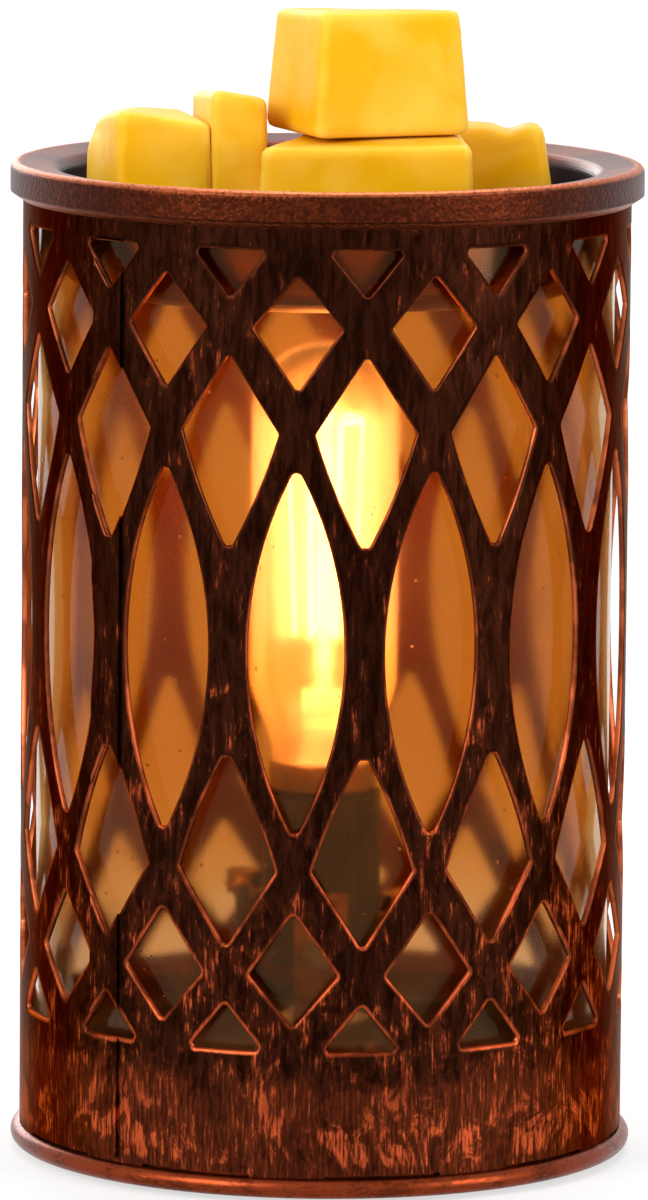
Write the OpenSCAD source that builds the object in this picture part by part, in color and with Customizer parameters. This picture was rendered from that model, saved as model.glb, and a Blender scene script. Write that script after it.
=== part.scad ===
// Electric wax warmer: a rolled lattice shell round a glass liner and a lamp, under a lift-off dish.
// Millimetres, +Z up, front towards -Y. The origin is on the table under the middle of the base.

/* [Lattice shell] */
// Outer radius of the rolled lattice sheet
shell_r = 48; // [45:0.5:52]
// Thickness of the lattice sheet and of the base pan
sheet_t = 0.8; // [0.6:0.1:1]
// Height of the lattice sheet
shell_h = 147.3; // [140:0.5:160]
// Plain band below the lattice
bottom_band = 19.3; // [17:0.5:24]
// Plain band above the lattice
top_band = 3.3; // [2:0.1:6]
// Times that the lattice repeats round the shell
repeats = 14; // [12:1:16]
// Turn of the lattice about the axis, in degrees
lattice_turn = -5.2; // [-12:0.2:12]
// Metal left between two petals where they are widest
petal_strut = 6.4; // [5:0.1:8]
// Metal left between two kites where they are widest
kite_strut = 5.7; // [4.5:0.1:8]
// Metal left between two small diamonds
diamond_strut = 7.6; // [6:0.1:10]
// Metal left between two edge triangles
triangle_strut = 9.3; // [7:0.1:12]
// Bow of a kite's inner sides towards its middle
kite_bow = 0.45; // [0:0.05:0.8]
// Rounding of the petals' tips
tip_round = 0.9; // [0.5:0.1:1.3]
// Rounding of the other corners of the cut-outs
corner_round = 0.6; // [0.3:0.1:0.9]
// Width of the lap where the sheet's ends meet
lap_w = 6; // [4:0.5:9]
// Height that the lap stands proud of the sheet
lap_rise = 0.5; // [0.3:0.1:0.8]
// Place of the lap's edge round the shell, in degrees from the front
lap_turn = -41; // [-48:0.5:-36]

/* [Base] */
// Height of the rolled bead above the table
bead_lift = 0.8; // [0.4:0.1:1]
// Radius of the rolled bead's section
bead_r = 1.6; // [1.4:0.1:2]
// Reach of the bead beyond the shell
bead_reach = 1.4; // [1:0.1:1.9]
// Slit between the bead and the shell's lower edge
shell_gap = 0.4; // [0.2:0.1:0.8]
// Number of locating tabs on the shell's lower edge
tabs = 10; // [6:1:12]
// Width of one locating tab, in degrees
tab_turn = 14; // [8:1:18]
// Depth of a tab in its slot in the bead
tab_depth = 0.8; // [0.5:0.1:1.2]
// Height of the base pan
pan_h = 15; // [14:0.5:18]
// Bend radius at the base pan's shoulder
pan_bend = 2; // [1.5:0.1:3]
// Thickness of the bottom cover
cover_t = 1.2; // [1:0.1:1.6]
// Thickness of a foot pad
pad_t = 1.2; // [1:0.1:1.5]
// Radius of a foot pad
pad_r = 6; // [4:0.5:8]
// Distance of the foot pads from the axis
pad_place = 36; // [33:0.5:38]
// Distance of the cover screws from the axis
post_place = 32; // [26:0.5:36]
// Radius of a cover post
post_r = 3; // [2.6:0.1:4]

/* [Cord inlet] */
// Radius of the hole that the cord passes through
cord_hole_r = 2.75; // [2:0.05:3]
// Wall of the grommet's neck
grommet_wall = 0.8; // [0.6:0.05:1]
// Thickness of the grommet's flanges
flange_t = 1.1; // [0.8:0.05:1.3]
// Half length of the flats that keep the grommet from turning
inlet_flat = 0.8; // [0.5:0.1:1.2]

/* [Glass liner] */
// Gap between the shell and the glass
liner_gap = 1.7; // [1.6:0.1:2]
// Wall of the glass
liner_t = 2.2; // [1.8:0.1:2.4]
// Depth of the glass's top edge below the dish's seat
liner_drop = 1.8; // [1.5:0.1:2.5]
// Thickness of the gasket under the glass
gasket_t = 1.2; // [0.8:0.1:2]
// Height of the gasket's lip round the glass
gasket_lip = 3.5; // [2:0.1:4]

/* [Dish] */
// Overhang of the rim beyond the shell
rim_over = 2; // [1.5:0.1:2.5]
// Height of the rim above its seat on the shell
rim_h = 6.1; // [5.5:0.1:8]
// Width of the bevel under the rim
bevel_w = 1.9; // [1.2:0.1:2]
// Height of the bevel under the rim
bevel_h = 1.3; // [0.8:0.1:2]
// Rounding of the rim's top edge
rim_round = 1.2; // [0.8:0.1:1.6]
// Width of the lip between the rim's face and the bowl
lip_w = 7.9; // [7.7:0.1:9]
// Fall of the lip towards the bowl
lip_drop = 1.2; // [0.6:0.1:1.6]
// Depth of the bowl below the rim's top
bowl_depth = 18.8; // [15:0.1:22]
// Bend radius inside the bowl's corner
bowl_bend = 4.2; // [3.5:0.1:5]
// Rounding of the bowl's mouth
mouth_round = 2; // [1:0.1:2.5]
// Slope of the bowl's wall, in degrees
bowl_draft = 3; // [1:0.5:6]
// Wall of the bowl
dish_t = 1.2; // [0.9:0.1:1.3]
// Depth of the skirt that centres the dish in the shell
skirt_h = 3; // [2:0.1:4]
// Thickness of the skirt
skirt_t = 1; // [0.7:0.1:1]

/* [Wax melts] */
// Height of the front melt, which the top one stands on
melt_front_h = 24.3; // [20:0.1:27]
// Height of the melt on top of the heap
melt_top_h = 19.8; // [16:0.1:24]
// Height of the left melt at its tallest corner
melt_left_h = 28.3; // [22:0.1:30]
// Height of the tall melt beside the left one
melt_tall_h = 31.2; // [25:0.1:33]
// Height of the right melt
melt_right_h = 24.7; // [20:0.1:30]
// Narrowing of a melt from its foot to its top, on each side
melt_draft = 1.1; // [0.4:0.1:1.5]
// Rounding of a melt's edges
melt_round = 1.5; // [1:0.1:1.8]

/* [Lampholder] */
// Gap between the base pan and the lampholder, for the leads
holder_lift = 14.2; // [12:0.1:18]
// Outer radius of the lampholder
holder_r = 9.3; // [9:0.1:10.5]
// Wall of the lampholder's body
holder_t = 1.6; // [1.2:0.1:1.7]
// Thickness of the lampholder's base
holder_base_t = 6.4; // [5.5:0.1:9]
// Number of flutes round the lampholder
flutes = 28; // [16:1:32]
// Width of the strap that carries the lampholder
strap_w = 8.4; // [6:0.1:9]
// Thickness of the strap
strap_t = 1.2; // [1:0.1:1.6]
// Height of the strap above the lampholder's foot
strap_over = 12.3; // [9:0.1:16]
// Rise of the sprung contact above its base strip
contact_rise = 4.4; // [4:0.1:5]
// Thickness of the terminal strips
lug_t = 0.8; // [0.6:0.1:0.9]
// Width of the terminal strips
lug_w = 5; // [4.6:0.1:5.4]
// Distance of the terminal screws from the axis
lug_place = 12.4; // [12.3:0.1:14]
// Outer radius of the threaded nipple
nipple_r = 5; // [4.8:0.1:5.5]
// Wall of the threaded nipple
nipple_t = 1; // [0.8:0.1:1.2]
// Height of a nipple nut
nut_h = 3; // [2.5:0.1:3.4]
// Width of a nipple nut across its flats
nut_flats = 14; // [13.5:0.1:15]
// Radius of an inner lead over its insulation
lead_r = 1.1; // [0.9:0.05:1.2]

/* [Lamp] */
// Radius of the lamp cap's thread over its crests
thread_r = 6.9; // [6.6:0.05:7.2]
// Length of the lamp cap's thread
thread_h = 12.9; // [11:0.1:15]
// Radius of the lamp cap's skirt
cap_skirt_r = 8.5; // [8.3:0.1:9]
// Height of the lamp cap's skirt
cap_skirt_h = 4.6; // [3.5:0.1:6]
// Sheet of the lamp cap
cap_t = 0.4; // [0.3:0.05:0.5]
// Radius of the lamp's glass
bulb_r = 11.6; // [10.5:0.1:14]
// Wall of the lamp's glass
bulb_t = 0.8; // [0.6:0.1:1]
// Height of the taper between the cap and the straight glass
bulb_taper = 13; // [10:0.5:18]
// Air between the lamp and the dish
lamp_air = 8.5; // [7:0.5:14]
// Number of upright filament strands
strands = 8; // [6:2:10]
// Radius of the filament cage at its top
cage_r = 6.4; // [5:0.1:7.5]
// Narrowing of the filament cage at its foot
cage_taper = 1.4; // [0.5:0.1:2.5]
// Height of the filament's foot above the lamp cap
cage_lift = 20; // [18:0.5:24]
// Distance of the filament's head below the lamp's top
cage_drop = 12.5; // [9:0.5:16]

/* [Fits] */
// Gap between parts that slip into each other
slip = 0.3; // [0.2:0.05:0.4]
// Gap between the lamp's thread and its socket
thread_fit = 0.08; // [0.05:0.01:0.1]
// Gap round screws, pins and strips in their holes
hole_fit = 0.05; // [0.04:0.01:0.1]
// Gap between the lamp's tip and the sprung contact
tip_gap = 0.15; // [0.1:0.05:0.3]

/* [Hidden] */

$fn = 96;
over = 1;

// Levels from the table up
bead_z = bead_lift + bead_r;
bead_top = bead_z + bead_r;
shell_z0 = bead_top + shell_gap;
seat_z = shell_z0 + shell_h;
pan_top = bead_lift + pan_h;
pan_under = pan_top - sheet_t;
cover_z0 = pad_t;
cover_z1 = cover_z0 + cover_t;
inlet_z = (bead_top + pan_under) / 2;
liner_z0 = pan_top + gasket_t;
liner_z1 = seat_z - liner_drop;
rim_z = seat_z + rim_h;
bowl_z = rim_z - bowl_depth;
dish_under = bowl_z - dish_t;

tab_foot = 0.05;

// Radii from the shell inwards
shell_ri = shell_r - sheet_t;
pan_r = shell_ri - slip;
pan_ri = pan_r - sheet_t;
bead_ring_r = shell_r + bead_reach - bead_r;
liner_r = shell_ri - liner_gap;
liner_ri = liner_r - liner_t;
rim_r = shell_r + rim_over;
skirt_r = shell_ri - slip;
skirt_ri = skirt_r - skirt_t;

// Turn of a locating tab about the axis
function tab_at(i) = 12 + i * 360 / tabs;

// Lattice
pitch = 360 / repeats;
pitch_arc = 2 * PI * shell_r / repeats;
half_h = (shell_h - bottom_band - top_band) / 2;
mid_z = shell_z0 + bottom_band + half_h;
petal_half_w = (pitch_arc - petal_strut) / 2;
kite_half_w = (pitch_arc - kite_strut) / 2;
diamond_half_w = (pitch_arc - diamond_strut) / 2;
triangle_half_w = (pitch_arc - triangle_strut) / 2;
// Levels of the cut-outs' corners, as shares of the lattice's half height
petal_tip = 0.450;
kite_in = 0.238;
kite_wide = 0.545;
kite_out = 0.742;
diamond_in = 0.648;
diamond_wide = 0.807;
diamond_out = 0.938;
triangle_in = 0.880;

// Dish
mouth_r = rim_r - lip_w;
mouth_z = rim_z - lip_drop;
bend_z = bowl_z + bowl_bend;
bowl_wall_r = mouth_r - (mouth_z - bend_z) * tan(bowl_draft);
bowl_floor_r = bowl_wall_r - bowl_bend;
lip_under = mouth_z - mouth_round;

// Melts: their plan sizes suit this floor radius, and follow the dish's own
melt_fit_r = 37.2;
melt_k = bowl_floor_r / melt_fit_r;

// Lampholder and lamp cap, from the pan up
strap_z1 = pan_top + holder_lift + strap_over;
holder_z0 = pan_top + holder_lift;
body_z0 = holder_z0 + holder_base_t;
spigot_h = 1;
floor_z = body_z0 + spigot_h;
insulator_z1 = floor_z + contact_rise - lug_t;
contact_z = floor_z + contact_rise;
tip_z0 = contact_z + tip_gap;
tip_h = 1.25;
cap_insulator_h = 1.7;
thread_z0 = tip_z0 + tip_h + cap_insulator_h;
skirt_z0 = thread_z0 + thread_h;
skirt_z1 = skirt_z0 + cap_skirt_h;
cap_clear = 0.4;
holder_z1 = skirt_z0 - cap_clear;
holder_ri = holder_r - holder_t;
keeper_h = 0.7;
socket_ri = thread_r + thread_fit;
socket_t = 0.42;
socket_r = socket_ri + socket_t;
well_r = 3.6;
flat_y = holder_r - 0.4;

// Fasteners
m3_r = 1.5;
m3_head_r = 2.75;
m3_head_h = 1.8;
cover_head_h = 0.8;
cover_screw_len = 8;
strap_screw_len = 7;
strap_screw_z = holder_z0 + holder_base_t / 2;
lug_end = lug_place + 2.6;
foot_r = 9;
nipple_z1 = pan_top + strap_t + 0.8 + nut_h + 1.2;
washer_t = 0.8;
nipple_z0 = pan_under - nut_h - 1;

// Lamp glass
bulb_top = dish_under - lamp_air;
neck_r = cap_skirt_r - cap_t - hole_fit;
neck_z0 = skirt_z0 + cap_t + hole_fit;
taper_z0 = skirt_z1 + 0.5;
taper_z1 = taper_z0 + bulb_taper;
press_z0 = skirt_z1 + 5;
press_z1 = press_z0 + 6;
cage_z0 = skirt_z1 + cage_lift;
cage_z1 = bulb_top - cage_drop;
wire_r = 0.25;
hook_r = 0.2;
rod_r = 1.1;

// Points on an arc, as radius and height or as X and Y
function arc(c, r, a0, a1, n) = [for (i = [0:n]) let (a = a0 + (a1 - a0) * i / n) c + r * [cos(a), sin(a)]];
function open_arc(c, r, a0, a1, n) = [for (i = [0:n - 1]) let (a = a0 + (a1 - a0) * i / n) c + r * [cos(a), sin(a)]];
function unit(v) = v / norm(v);

// Points that round the corner at p, between the sides to a and to b
function fillet(a, p, b, r, n = 3) =
    let (u = unit(a - p), w = unit(b - p), half = acos(u * w) / 2, c = p + unit(u + w) * r / sin(half),
         p1 = p + u * r / tan(half), p2 = p + w * r / tan(half))
    [for (i = [0:n]) c + r * unit(p1 + (p2 - p1) * i / n - c)];

// Points between a and b on a shallow bow of height s
function bowed(a, b, s, n) =
    [for (i = [1:n - 1]) let (t = i / n, d = unit(b - a)) a + (b - a) * t + 4 * s * t * (1 - t) * [-d.y, d.x]];

// A petal: two large arcs joined by small ones at the tips
function petal_outline(w, h, r) =
    let (big = (w * w - r * r + (h - r) * (h - r)) / (2 * (w - r)), c = big - w, tip = h - r, f = atan(tip / c))
    concat(open_arc([-c, 0], big, -f, f, 11), open_arc([0, tip], r, f, 180 - f, 4),
           open_arc([c, 0], big, 180 - f, 180 + f, 11), open_arc([0, -tip], r, 180 + f, 360 - f, 4));

// A kite: straight outer sides, and inner sides bowed like the petal beside them
function kite_outline(w, z_in, z_wide, z_out) =
    let (a = [0, z_in], b = [w, z_wide], c = [0, z_out], d = [-w, z_wide],
         fa = fillet(d, a, b, tip_round), fb = fillet(a, b, c, corner_round),
         fc = fillet(b, c, d, corner_round), fd = fillet(c, d, a, corner_round))
    concat(fa, bowed(fa[3], fb[0], -kite_bow, 5), fb, fc, fd, bowed(fd[3], fa[0], -kite_bow, 5));

// A diamond with straight sides, or a triangle where z_wide is z_out
function diamond_outline(w, z_in, z_wide, z_out) =
    let (a = [0, z_in], b = [w, z_wide], c = [0, z_out], d = [-w, z_wide])
    z_wide == z_out
    ? concat(fillet(d, a, b, corner_round), fillet(a, b, d, corner_round), fillet(b, d, a, corner_round))
    : concat(fillet(d, a, b, corner_round), fillet(a, b, c, corner_round),
             fillet(b, c, d, corner_round), fillet(c, d, a, corner_round));

// A smooth path through hand-set points
function eased(p, i, t) =
    let (a = p[max(i - 1, 0)], b = p[i], c = p[i + 1], d = p[min(i + 2, len(p) - 1)])
    0.5 * (2 * b + (c - a) * t + (2 * a - 5 * b + 4 * c - d) * t * t + (3 * b - a - 3 * c + d) * t * t * t);
function path(p, n) = concat([for (i = [0:len(p) - 2]) for (j = [0:n - 1]) eased(p, i, j / n)], [p[len(p) - 1]]);
function heading(p, i) = unit(p[min(i + 1, len(p) - 1)] - p[max(i - 1, 0)]);
function side(p, i) =
    i == 0 ? unit(cross(heading(p, 0), [0.31, 0.17, 0.93]))
           : let (t = heading(p, i), u = side(p, i - 1)) unit(u - t * (u * t));

// A round lead along a path
module lead(p, r, sides = 8) {
    n = len(p);
    points = [for (i = [0:n - 1]) let (t = heading(p, i), u = side(p, i), w = cross(t, u))
              for (k = [0:sides - 1]) p[i] + r * (cos(360 * k / sides) * u + sin(360 * k / sides) * w)];
    walls = [for (i = [0:n - 2]) for (k = [0:sides - 1])
             let (a = i * sides + k, b = i * sides + (k + 1) % sides)
             each [[a, b, a + sides], [b, b + sides, a + sides]]];
    ends = [for (k = [1:sides - 2]) each [[0, k + 1, k],
            [(n - 1) * sides, (n - 1) * sides + k, (n - 1) * sides + k + 1]]];
    polyhedron(points, [for (f = concat(walls, ends)) [f[0], f[2], f[1]]], convexity = 8);
}

// A ring or disc between two radii and two levels
module ring(r0, r1, z0, z1) {
    translate([0, 0, z0])
    difference() {
        cylinder(r = r1, h = z1 - z0);
        if (r0 > 0) translate([0, 0, -over]) cylinder(r = r0, h = z1 - z0 + 2 * over);
    }
}

// A straight round bar between two points
module bar(a, b, r) {
    d = b - a;
    translate(a) rotate([0, acos(d.z / norm(d)), atan2(d.y, d.x)]) cylinder(r = r, h = norm(d));
}

// A cutter through the shell's wall at one angle, from an outline across and up
module shell_cut(turn, outline) {
    rotate([0, 0, turn]) translate([0, -shell_ri + 2 * over, mid_z])
    rotate([90, 0, 0]) linear_extrude(sheet_t + lap_rise + 4 * over) polygon(outline);
}

module place_around(n, turn, r) {
    for (i = [0:n - 1]) rotate([0, 0, turn + 360 * i / n]) translate([r, 0, 0]) children();
}

module base_pan() {
    profile = concat([[nipple_r + hole_fit, pan_under], [nipple_r + hole_fit, pan_top]],
                     fillet([0, pan_top], [pan_r, pan_top], [pan_r, 0], pan_bend),
                     [[pan_r, bead_z], [pan_ri, bead_z]],
                     fillet([pan_ri, 0], [pan_ri, pan_under], [0, pan_under], pan_bend - sheet_t));
    color("#5a2f1e") difference() {
        union() {
            rotate_extrude() polygon(profile);
            rotate_extrude() translate([bead_ring_r, bead_z]) circle(r = bead_r);
        }
        for (i = [0:tabs - 1]) tab_slot(i);
        inlet_hole();
        place_around(3, -90, post_place) translate([0, 0, pan_under - over]) cylinder(r = m3_r, h = sheet_t + 2 * over);
    }
}

// A slot in the bead for one of the shell's locating tabs, with a gap round it
module tab_slot(i) {
    spread = hole_fit / shell_r * 180 / PI;
    rotate([0, 0, tab_at(i) - tab_turn / 2 - spread]) rotate_extrude(angle = tab_turn + 2 * spread)
    translate([shell_ri - hole_fit, bead_top - tab_depth]) square([sheet_t + 2 * hole_fit, tab_depth + over]);
}

// The part of the sheet that is cut away between one locating tab and the next
module tab_notch(i) {
    rotate([0, 0, tab_at(i) + tab_turn / 2]) rotate_extrude(angle = 360 / tabs - tab_turn)
    translate([shell_ri - over, bead_top - tab_depth - over]) square([sheet_t + 2 * over, tab_depth + shell_gap + over]);
}

// A bar along Y from level y0, round at its left and right and flat above and below
module oval_bar(r, y0, length) {
    for (s = [-1, 1]) translate([s * inlet_flat, y0, 0]) rotate([-90, 0, 0]) cylinder(r = r, h = length);
    translate([-inlet_flat, y0, -r]) cube([2 * inlet_flat, length, 2 * r]);
}

// The oval hole for the grommet, through the back of the shell and of the pan
module inlet_hole() {
    translate([0, 0, inlet_z])
    oval_bar(cord_hole_r + grommet_wall + hole_fit, pan_ri - over, shell_r - pan_ri + 2 * over);
}

module lattice_shell() {
    petal = petal_outline(petal_half_w, half_h * petal_tip, tip_round);
    color("#46261a") difference() {
        union() {
            ring(shell_ri, shell_r, bead_top - tab_depth + tab_foot, seat_z);
            rotate([0, 0, lap_turn - 90 - lap_w / shell_r * 180 / PI])
            rotate_extrude(angle = lap_w / shell_r * 180 / PI)
            translate([shell_r - sheet_t / 2, shell_z0 + 0.3])
            square([sheet_t / 2 + lap_rise, shell_h - top_band - 0.3]);
        }
        for (i = [0:tabs - 1]) tab_notch(i);
        for (k = [0:repeats - 1]) {
            a = lattice_turn + k * pitch;
            b = a + pitch / 2;
            shell_cut(a, petal);
            for (s = [-1, 1]) {
                shell_cut(a, diamond_outline(diamond_half_w, s * half_h * diamond_in,
                                             s * half_h * diamond_wide, s * half_h * diamond_out));
                shell_cut(b, kite_outline(kite_half_w, s * half_h * kite_in,
                                          s * half_h * kite_wide, s * half_h * kite_out));
                shell_cut(b, diamond_outline(triangle_half_w, s * half_h * triangle_in, s * half_h, s * half_h));
            }
        }
        inlet_hole();
    }
}

module bottom_cover() {
    color("#2a2320") difference() {
        ring(0, pan_ri - slip, cover_z0, cover_z1);
        place_around(3, -90, post_place) translate([0, 0, cover_z0 - over])
            cylinder(r = m3_r + hole_fit, h = cover_t + 2 * over);
    }
}

module cover_posts() {
    color("#b8b4ac") place_around(3, -90, post_place) difference() {
        union() {
            translate([0, 0, cover_z1]) cylinder(r = post_r, h = pan_under - cover_z1);
            translate([0, 0, pan_under]) cylinder(r = m3_r - hole_fit, h = sheet_t);
        }
        translate([0, 0, cover_z1 - over]) cylinder(r = m3_r + hole_fit, h = cover_screw_len - cover_t + over + 0.5);
    }
}

module cover_screws() {
    color("#8f8c88") place_around(3, -90, post_place) difference() {
        union() {
            translate([0, 0, cover_z0]) cylinder(r = m3_r, h = cover_screw_len);
            translate([0, 0, cover_z0 - cover_head_h]) cylinder(r = m3_head_r, h = cover_head_h);
        }
        for (q = [0, 90]) rotate([0, 0, q]) translate([-1.6, -0.3, cover_z0 - cover_head_h - over]) cube([3.2, 0.6, over + 0.5]);
    }
}

module foot_pads() {
    color("#1b1b1c") place_around(4, 45, pad_place) cylinder(r = pad_r, h = pad_t);
}

module cord_grommet() {
    neck_r = cord_hole_r + grommet_wall;
    flange_r = neck_r + 0.8;
    half_w = flange_r + inlet_flat;
    inside = sqrt(pan_ri * pan_ri - half_w * half_w) - flange_t;
    outside = shell_r + flange_t;
    color("#151515") translate([0, 0, inlet_z]) difference() {
        union() {
            oval_bar(neck_r, inside, outside - inside);
            oval_bar(flange_r, inside, flange_t);
            oval_bar(flange_r, shell_r, flange_t);
        }
        translate([0, inside - over, 0]) rotate([-90, 0, 0]) cylinder(r = cord_hole_r, h = outside - inside + 2 * over);
    }
}

module liner_gasket() {
    color("#3b3a38") difference() {
        ring(liner_ri - 0.5, pan_r, pan_top, liner_z0 + gasket_lip);
        ring(0, liner_r + hole_fit, liner_z0, liner_z0 + gasket_lip + over);
        pan_shoulder_clearance();
    }
}

// Where the pan's rounded shoulder falls away, the gasket keeps its outer edge off the shell
module pan_shoulder_clearance() {
    ring(pan_r - 0.2, shell_r, pan_top - over, liner_z0 + gasket_lip + over);
}

module glass_liner() {
    color([0.85, 0.5, 0.15, 0.35]) ring(liner_ri, liner_r, liner_z0, liner_z1);
}

module dish() {
    inner = concat([[0, bowl_z]], arc([bowl_floor_r, bend_z], bowl_bend, -90, -bowl_draft, 8));
    mouth = fillet(inner[len(inner) - 1], [mouth_r, mouth_z], [rim_r, rim_z], mouth_round, 6);
    rim = concat(fillet([mouth_r, mouth_z], [rim_r, rim_z], [rim_r, 0], rim_round, 6),
                 [[rim_r, seat_z + bevel_h], [rim_r - bevel_w, seat_z], [skirt_r, seat_z],
                  [skirt_r, seat_z - skirt_h], [skirt_ri, seat_z - skirt_h], [skirt_ri, lip_under]]);
    outer_wall = [[bowl_wall_r + dish_t + (lip_under - bend_z) * tan(bowl_draft), lip_under]];
    outer = arc([bowl_floor_r, bend_z], bowl_bend + dish_t, -bowl_draft, -90, 8);
    color("#7a4630") rotate_extrude() polygon(concat(inner, mouth, rim, outer_wall, outer, [[0, dish_under]]));
}

// A piece of wax with rounded edges, from the corners of its foot and the height of each, narrower at its top.
// A corner's fourth number is how much further it leans in at its top.
module melt(corners, draft = melt_draft, round_r = melt_round) {
    n = len(corners);
    middle = [for (i = [0, 1]) mean([for (c = corners) c[i]])];
    hull() for (c = corners) for (top = [0, 1])
        let (p = [c.x, c.y], lean = draft + (len(c) > 3 ? c[3] : 0),
             q = p + unit(middle - p) * sqrt(2) * (round_r + top * lean))
        translate([q.x * melt_k, q.y * melt_k, top ? c.z - round_r : round_r])
        sphere(r = round_r, $fn = 20);
}
function mean(v) = v * [for (i = v) 1] / len(v);

module wax_left() {
    h = melt_left_h;
    color("#efb515") translate([0, 0, bowl_z])
        melt([[-31.4, -22.3, h], [-18, -19.4, h - 1.9], [-21.8, 4.6, h - 1.8], [-29.5, 9.3, h - 1.8],
              [-38.2, -3.5, h - 1.8]], 0.6);
}

module wax_tall() {
    h = melt_tall_h;
    color("#efb515") translate([0, 0, bowl_z])
        melt([[-16.7, -18.9, h], [-8.8, -18.6, h - 1], [-11.8, 3.2, h - 2.6], [-20.1, 4.8, h - 1.6]], 0.3);
}

module wax_right() {
    h = melt_right_h;
    color("#efb515") translate([0, 0, bowl_z])
        melt([[17.9, -3.9, h], [38.8, -3.9, h, 1.4], [38.9, 6.6, h, 1.4], [17.9, 7.4, h]], melt_draft, melt_round + 0.8);
}

module wax_front() {
    h = melt_front_h;
    color("#efb515") translate([0, 0, bowl_z])
        melt([[-10.2, -27.4, h - 1], [24.2, -27.4, h - 0.4], [22.6, -5.4, h], [-3.2, -5.4, h]], 0.5);
}

module wax_top() {
    h = melt_top_h;
    color("#efb515") translate([0, 0, bowl_z + melt_front_h])
        melt([[-0.8, -24.9, h - 0.1], [23.4, -15, h - 0.2], [14, 7, h - 2], [-9.4, -2.9, h - 0.9]]);
}

module lampholder_strap() {
    wall = [[-flat_y - strap_t, pan_top], [-flat_y - strap_t, strap_z1], [-flat_y, strap_z1],
            [-flat_y, pan_top + strap_t], [0, pan_top + strap_t], [0, pan_top]];
    bent = concat(fillet(wall[5], wall[0], wall[1], 2), [wall[1], wall[2]],
                  fillet(wall[2], wall[3], wall[4], 2 - strap_t), [wall[4], wall[5]]);
    color("#c4793f") difference() {
        union() {
            translate([-strap_w / 2, 0, 0]) rotate([90, 0, 90]) linear_extrude(strap_w) polygon(bent);
            ring(0, foot_r - 0.3, pan_top, pan_top + strap_t);
        }
        ring(0, nipple_r + hole_fit, pan_top - over, pan_top + strap_t + over);
        translate([0, -flat_y - strap_t - over, strap_screw_z]) rotate([-90, 0, 0])
            cylinder(r = m3_r + hole_fit, h = strap_t + 2 * over);
    }
}

module threaded_nipple() {
    color("#b9b6ae") ring(nipple_r - nipple_t, nipple_r, nipple_z0, nipple_z1);
}

module nipple_nuts() {
    for (z = [pan_under - nut_h, pan_top + strap_t + washer_t])
        color("#c9a24a") difference() {
            translate([0, 0, z]) cylinder(r = nut_flats / 2 / cos(30), h = nut_h, $fn = 6);
            translate([0, 0, z - over]) cylinder(r = nipple_r + hole_fit, h = nut_h + 2 * over);
        }
}

module lock_washer() {
    color("#9a9891") difference() {
        ring(nipple_r + hole_fit, nut_flats / 2 + 0.6, pan_top + strap_t, pan_top + strap_t + washer_t);
        place_around(12, 0, nut_flats / 2 - 0.6) translate([0, -0.45, pan_top + strap_t - over])
            cube([2, 0.9, washer_t + 2 * over]);
    }
}

module lampholder_base() {
    color("#171513") difference() {
        union() {
            ring(0, holder_r, holder_z0, body_z0);
            ring(0, holder_ri - hole_fit, body_z0, floor_z);
        }
        holder_flat();
        translate([0, -holder_r - over, strap_screw_z]) rotate([-90, 0, 0])
            cylinder(r = m3_r, h = holder_r - flat_y + strap_screw_len - strap_t + over + 0.5);
    }
}

// The flat on the lampholder's front that the strap bears on
module holder_flat() {
    translate([-holder_r, -holder_r - over, holder_z0 - over])
        cube([2 * holder_r, holder_r + over - flat_y, strap_z1 - holder_z0 + 2 * over]);
}

module lampholder_body() {
    flute_r = 0.55;
    color("#1d1a17") difference() {
        ring(holder_ri, holder_r, body_z0, holder_z1 - keeper_h);
        holder_flat();
        place_around(flutes, 0, holder_r + flute_r / 3) translate([0, 0, body_z0 + 2])
            cylinder(r = flute_r, h = holder_z1 - keeper_h - body_z0 - 4, $fn = 6);
        lug_slot(-1, insulator_z1);
        lug_slot(1, floor_z);
    }
    color("#1d1a17") ring(socket_ri + hole_fit, holder_r, holder_z1 - keeper_h, holder_z1);
}

// The slot that a terminal strip passes through, on the left or on the right
module lug_slot(s, z) {
    translate([s * holder_r, 0, z + lug_t / 2])
        cube([2 * holder_t + 2, lug_w + 4 * hole_fit, lug_t + 4 * hole_fit], center = true);
}

module strap_screw() {
    y0 = -flat_y - strap_t;
    color("#a9a59c") translate([0, y0, strap_screw_z]) rotate([-90, 0, 0]) difference() {
        union() {
            cylinder(r = m3_r - hole_fit, h = strap_screw_len);
            translate([0, 0, -m3_head_h]) cylinder(r = m3_head_r, h = m3_head_h);
        }
        translate([-m3_head_r, -0.35, -m3_head_h - over]) cube([2 * m3_head_r, 0.7, over + 0.8]);
    }
}

module socket_shell() {
    color("#c9a24a") {
        ring(socket_ri, socket_r, insulator_z1, holder_z1 - keeper_h - hole_fit);
        ring(well_r + 0.6, socket_r, insulator_z1, insulator_z1 + lug_t);
        difference() {
            lug(-1, insulator_z1, socket_ri + 0.2);
            terminal_hole(-1, insulator_z1);
        }
    }
}

// A terminal strip that runs out of the lampholder from radius r
module lug(s, z, r) {
    translate([s > 0 ? r : -lug_end, -lug_w / 2, z]) cube([lug_end - r, lug_w, lug_t]);
}

module terminal_hole(s, z) {
    translate([s * lug_place, 0, z - over]) cylinder(r = m3_r + hole_fit, h = lug_t + 2 * over);
}

module contact_insulator() {
    color("#d9d2c2") difference() {
        ring(well_r, holder_ri - 2 * hole_fit, floor_z, insulator_z1);
        translate([-well_r, -lug_w / 2 - hole_fit, floor_z - over])
            cube([well_r + holder_r, lug_w + 2 * hole_fit, over + lug_t + hole_fit]);
    }
}

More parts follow.
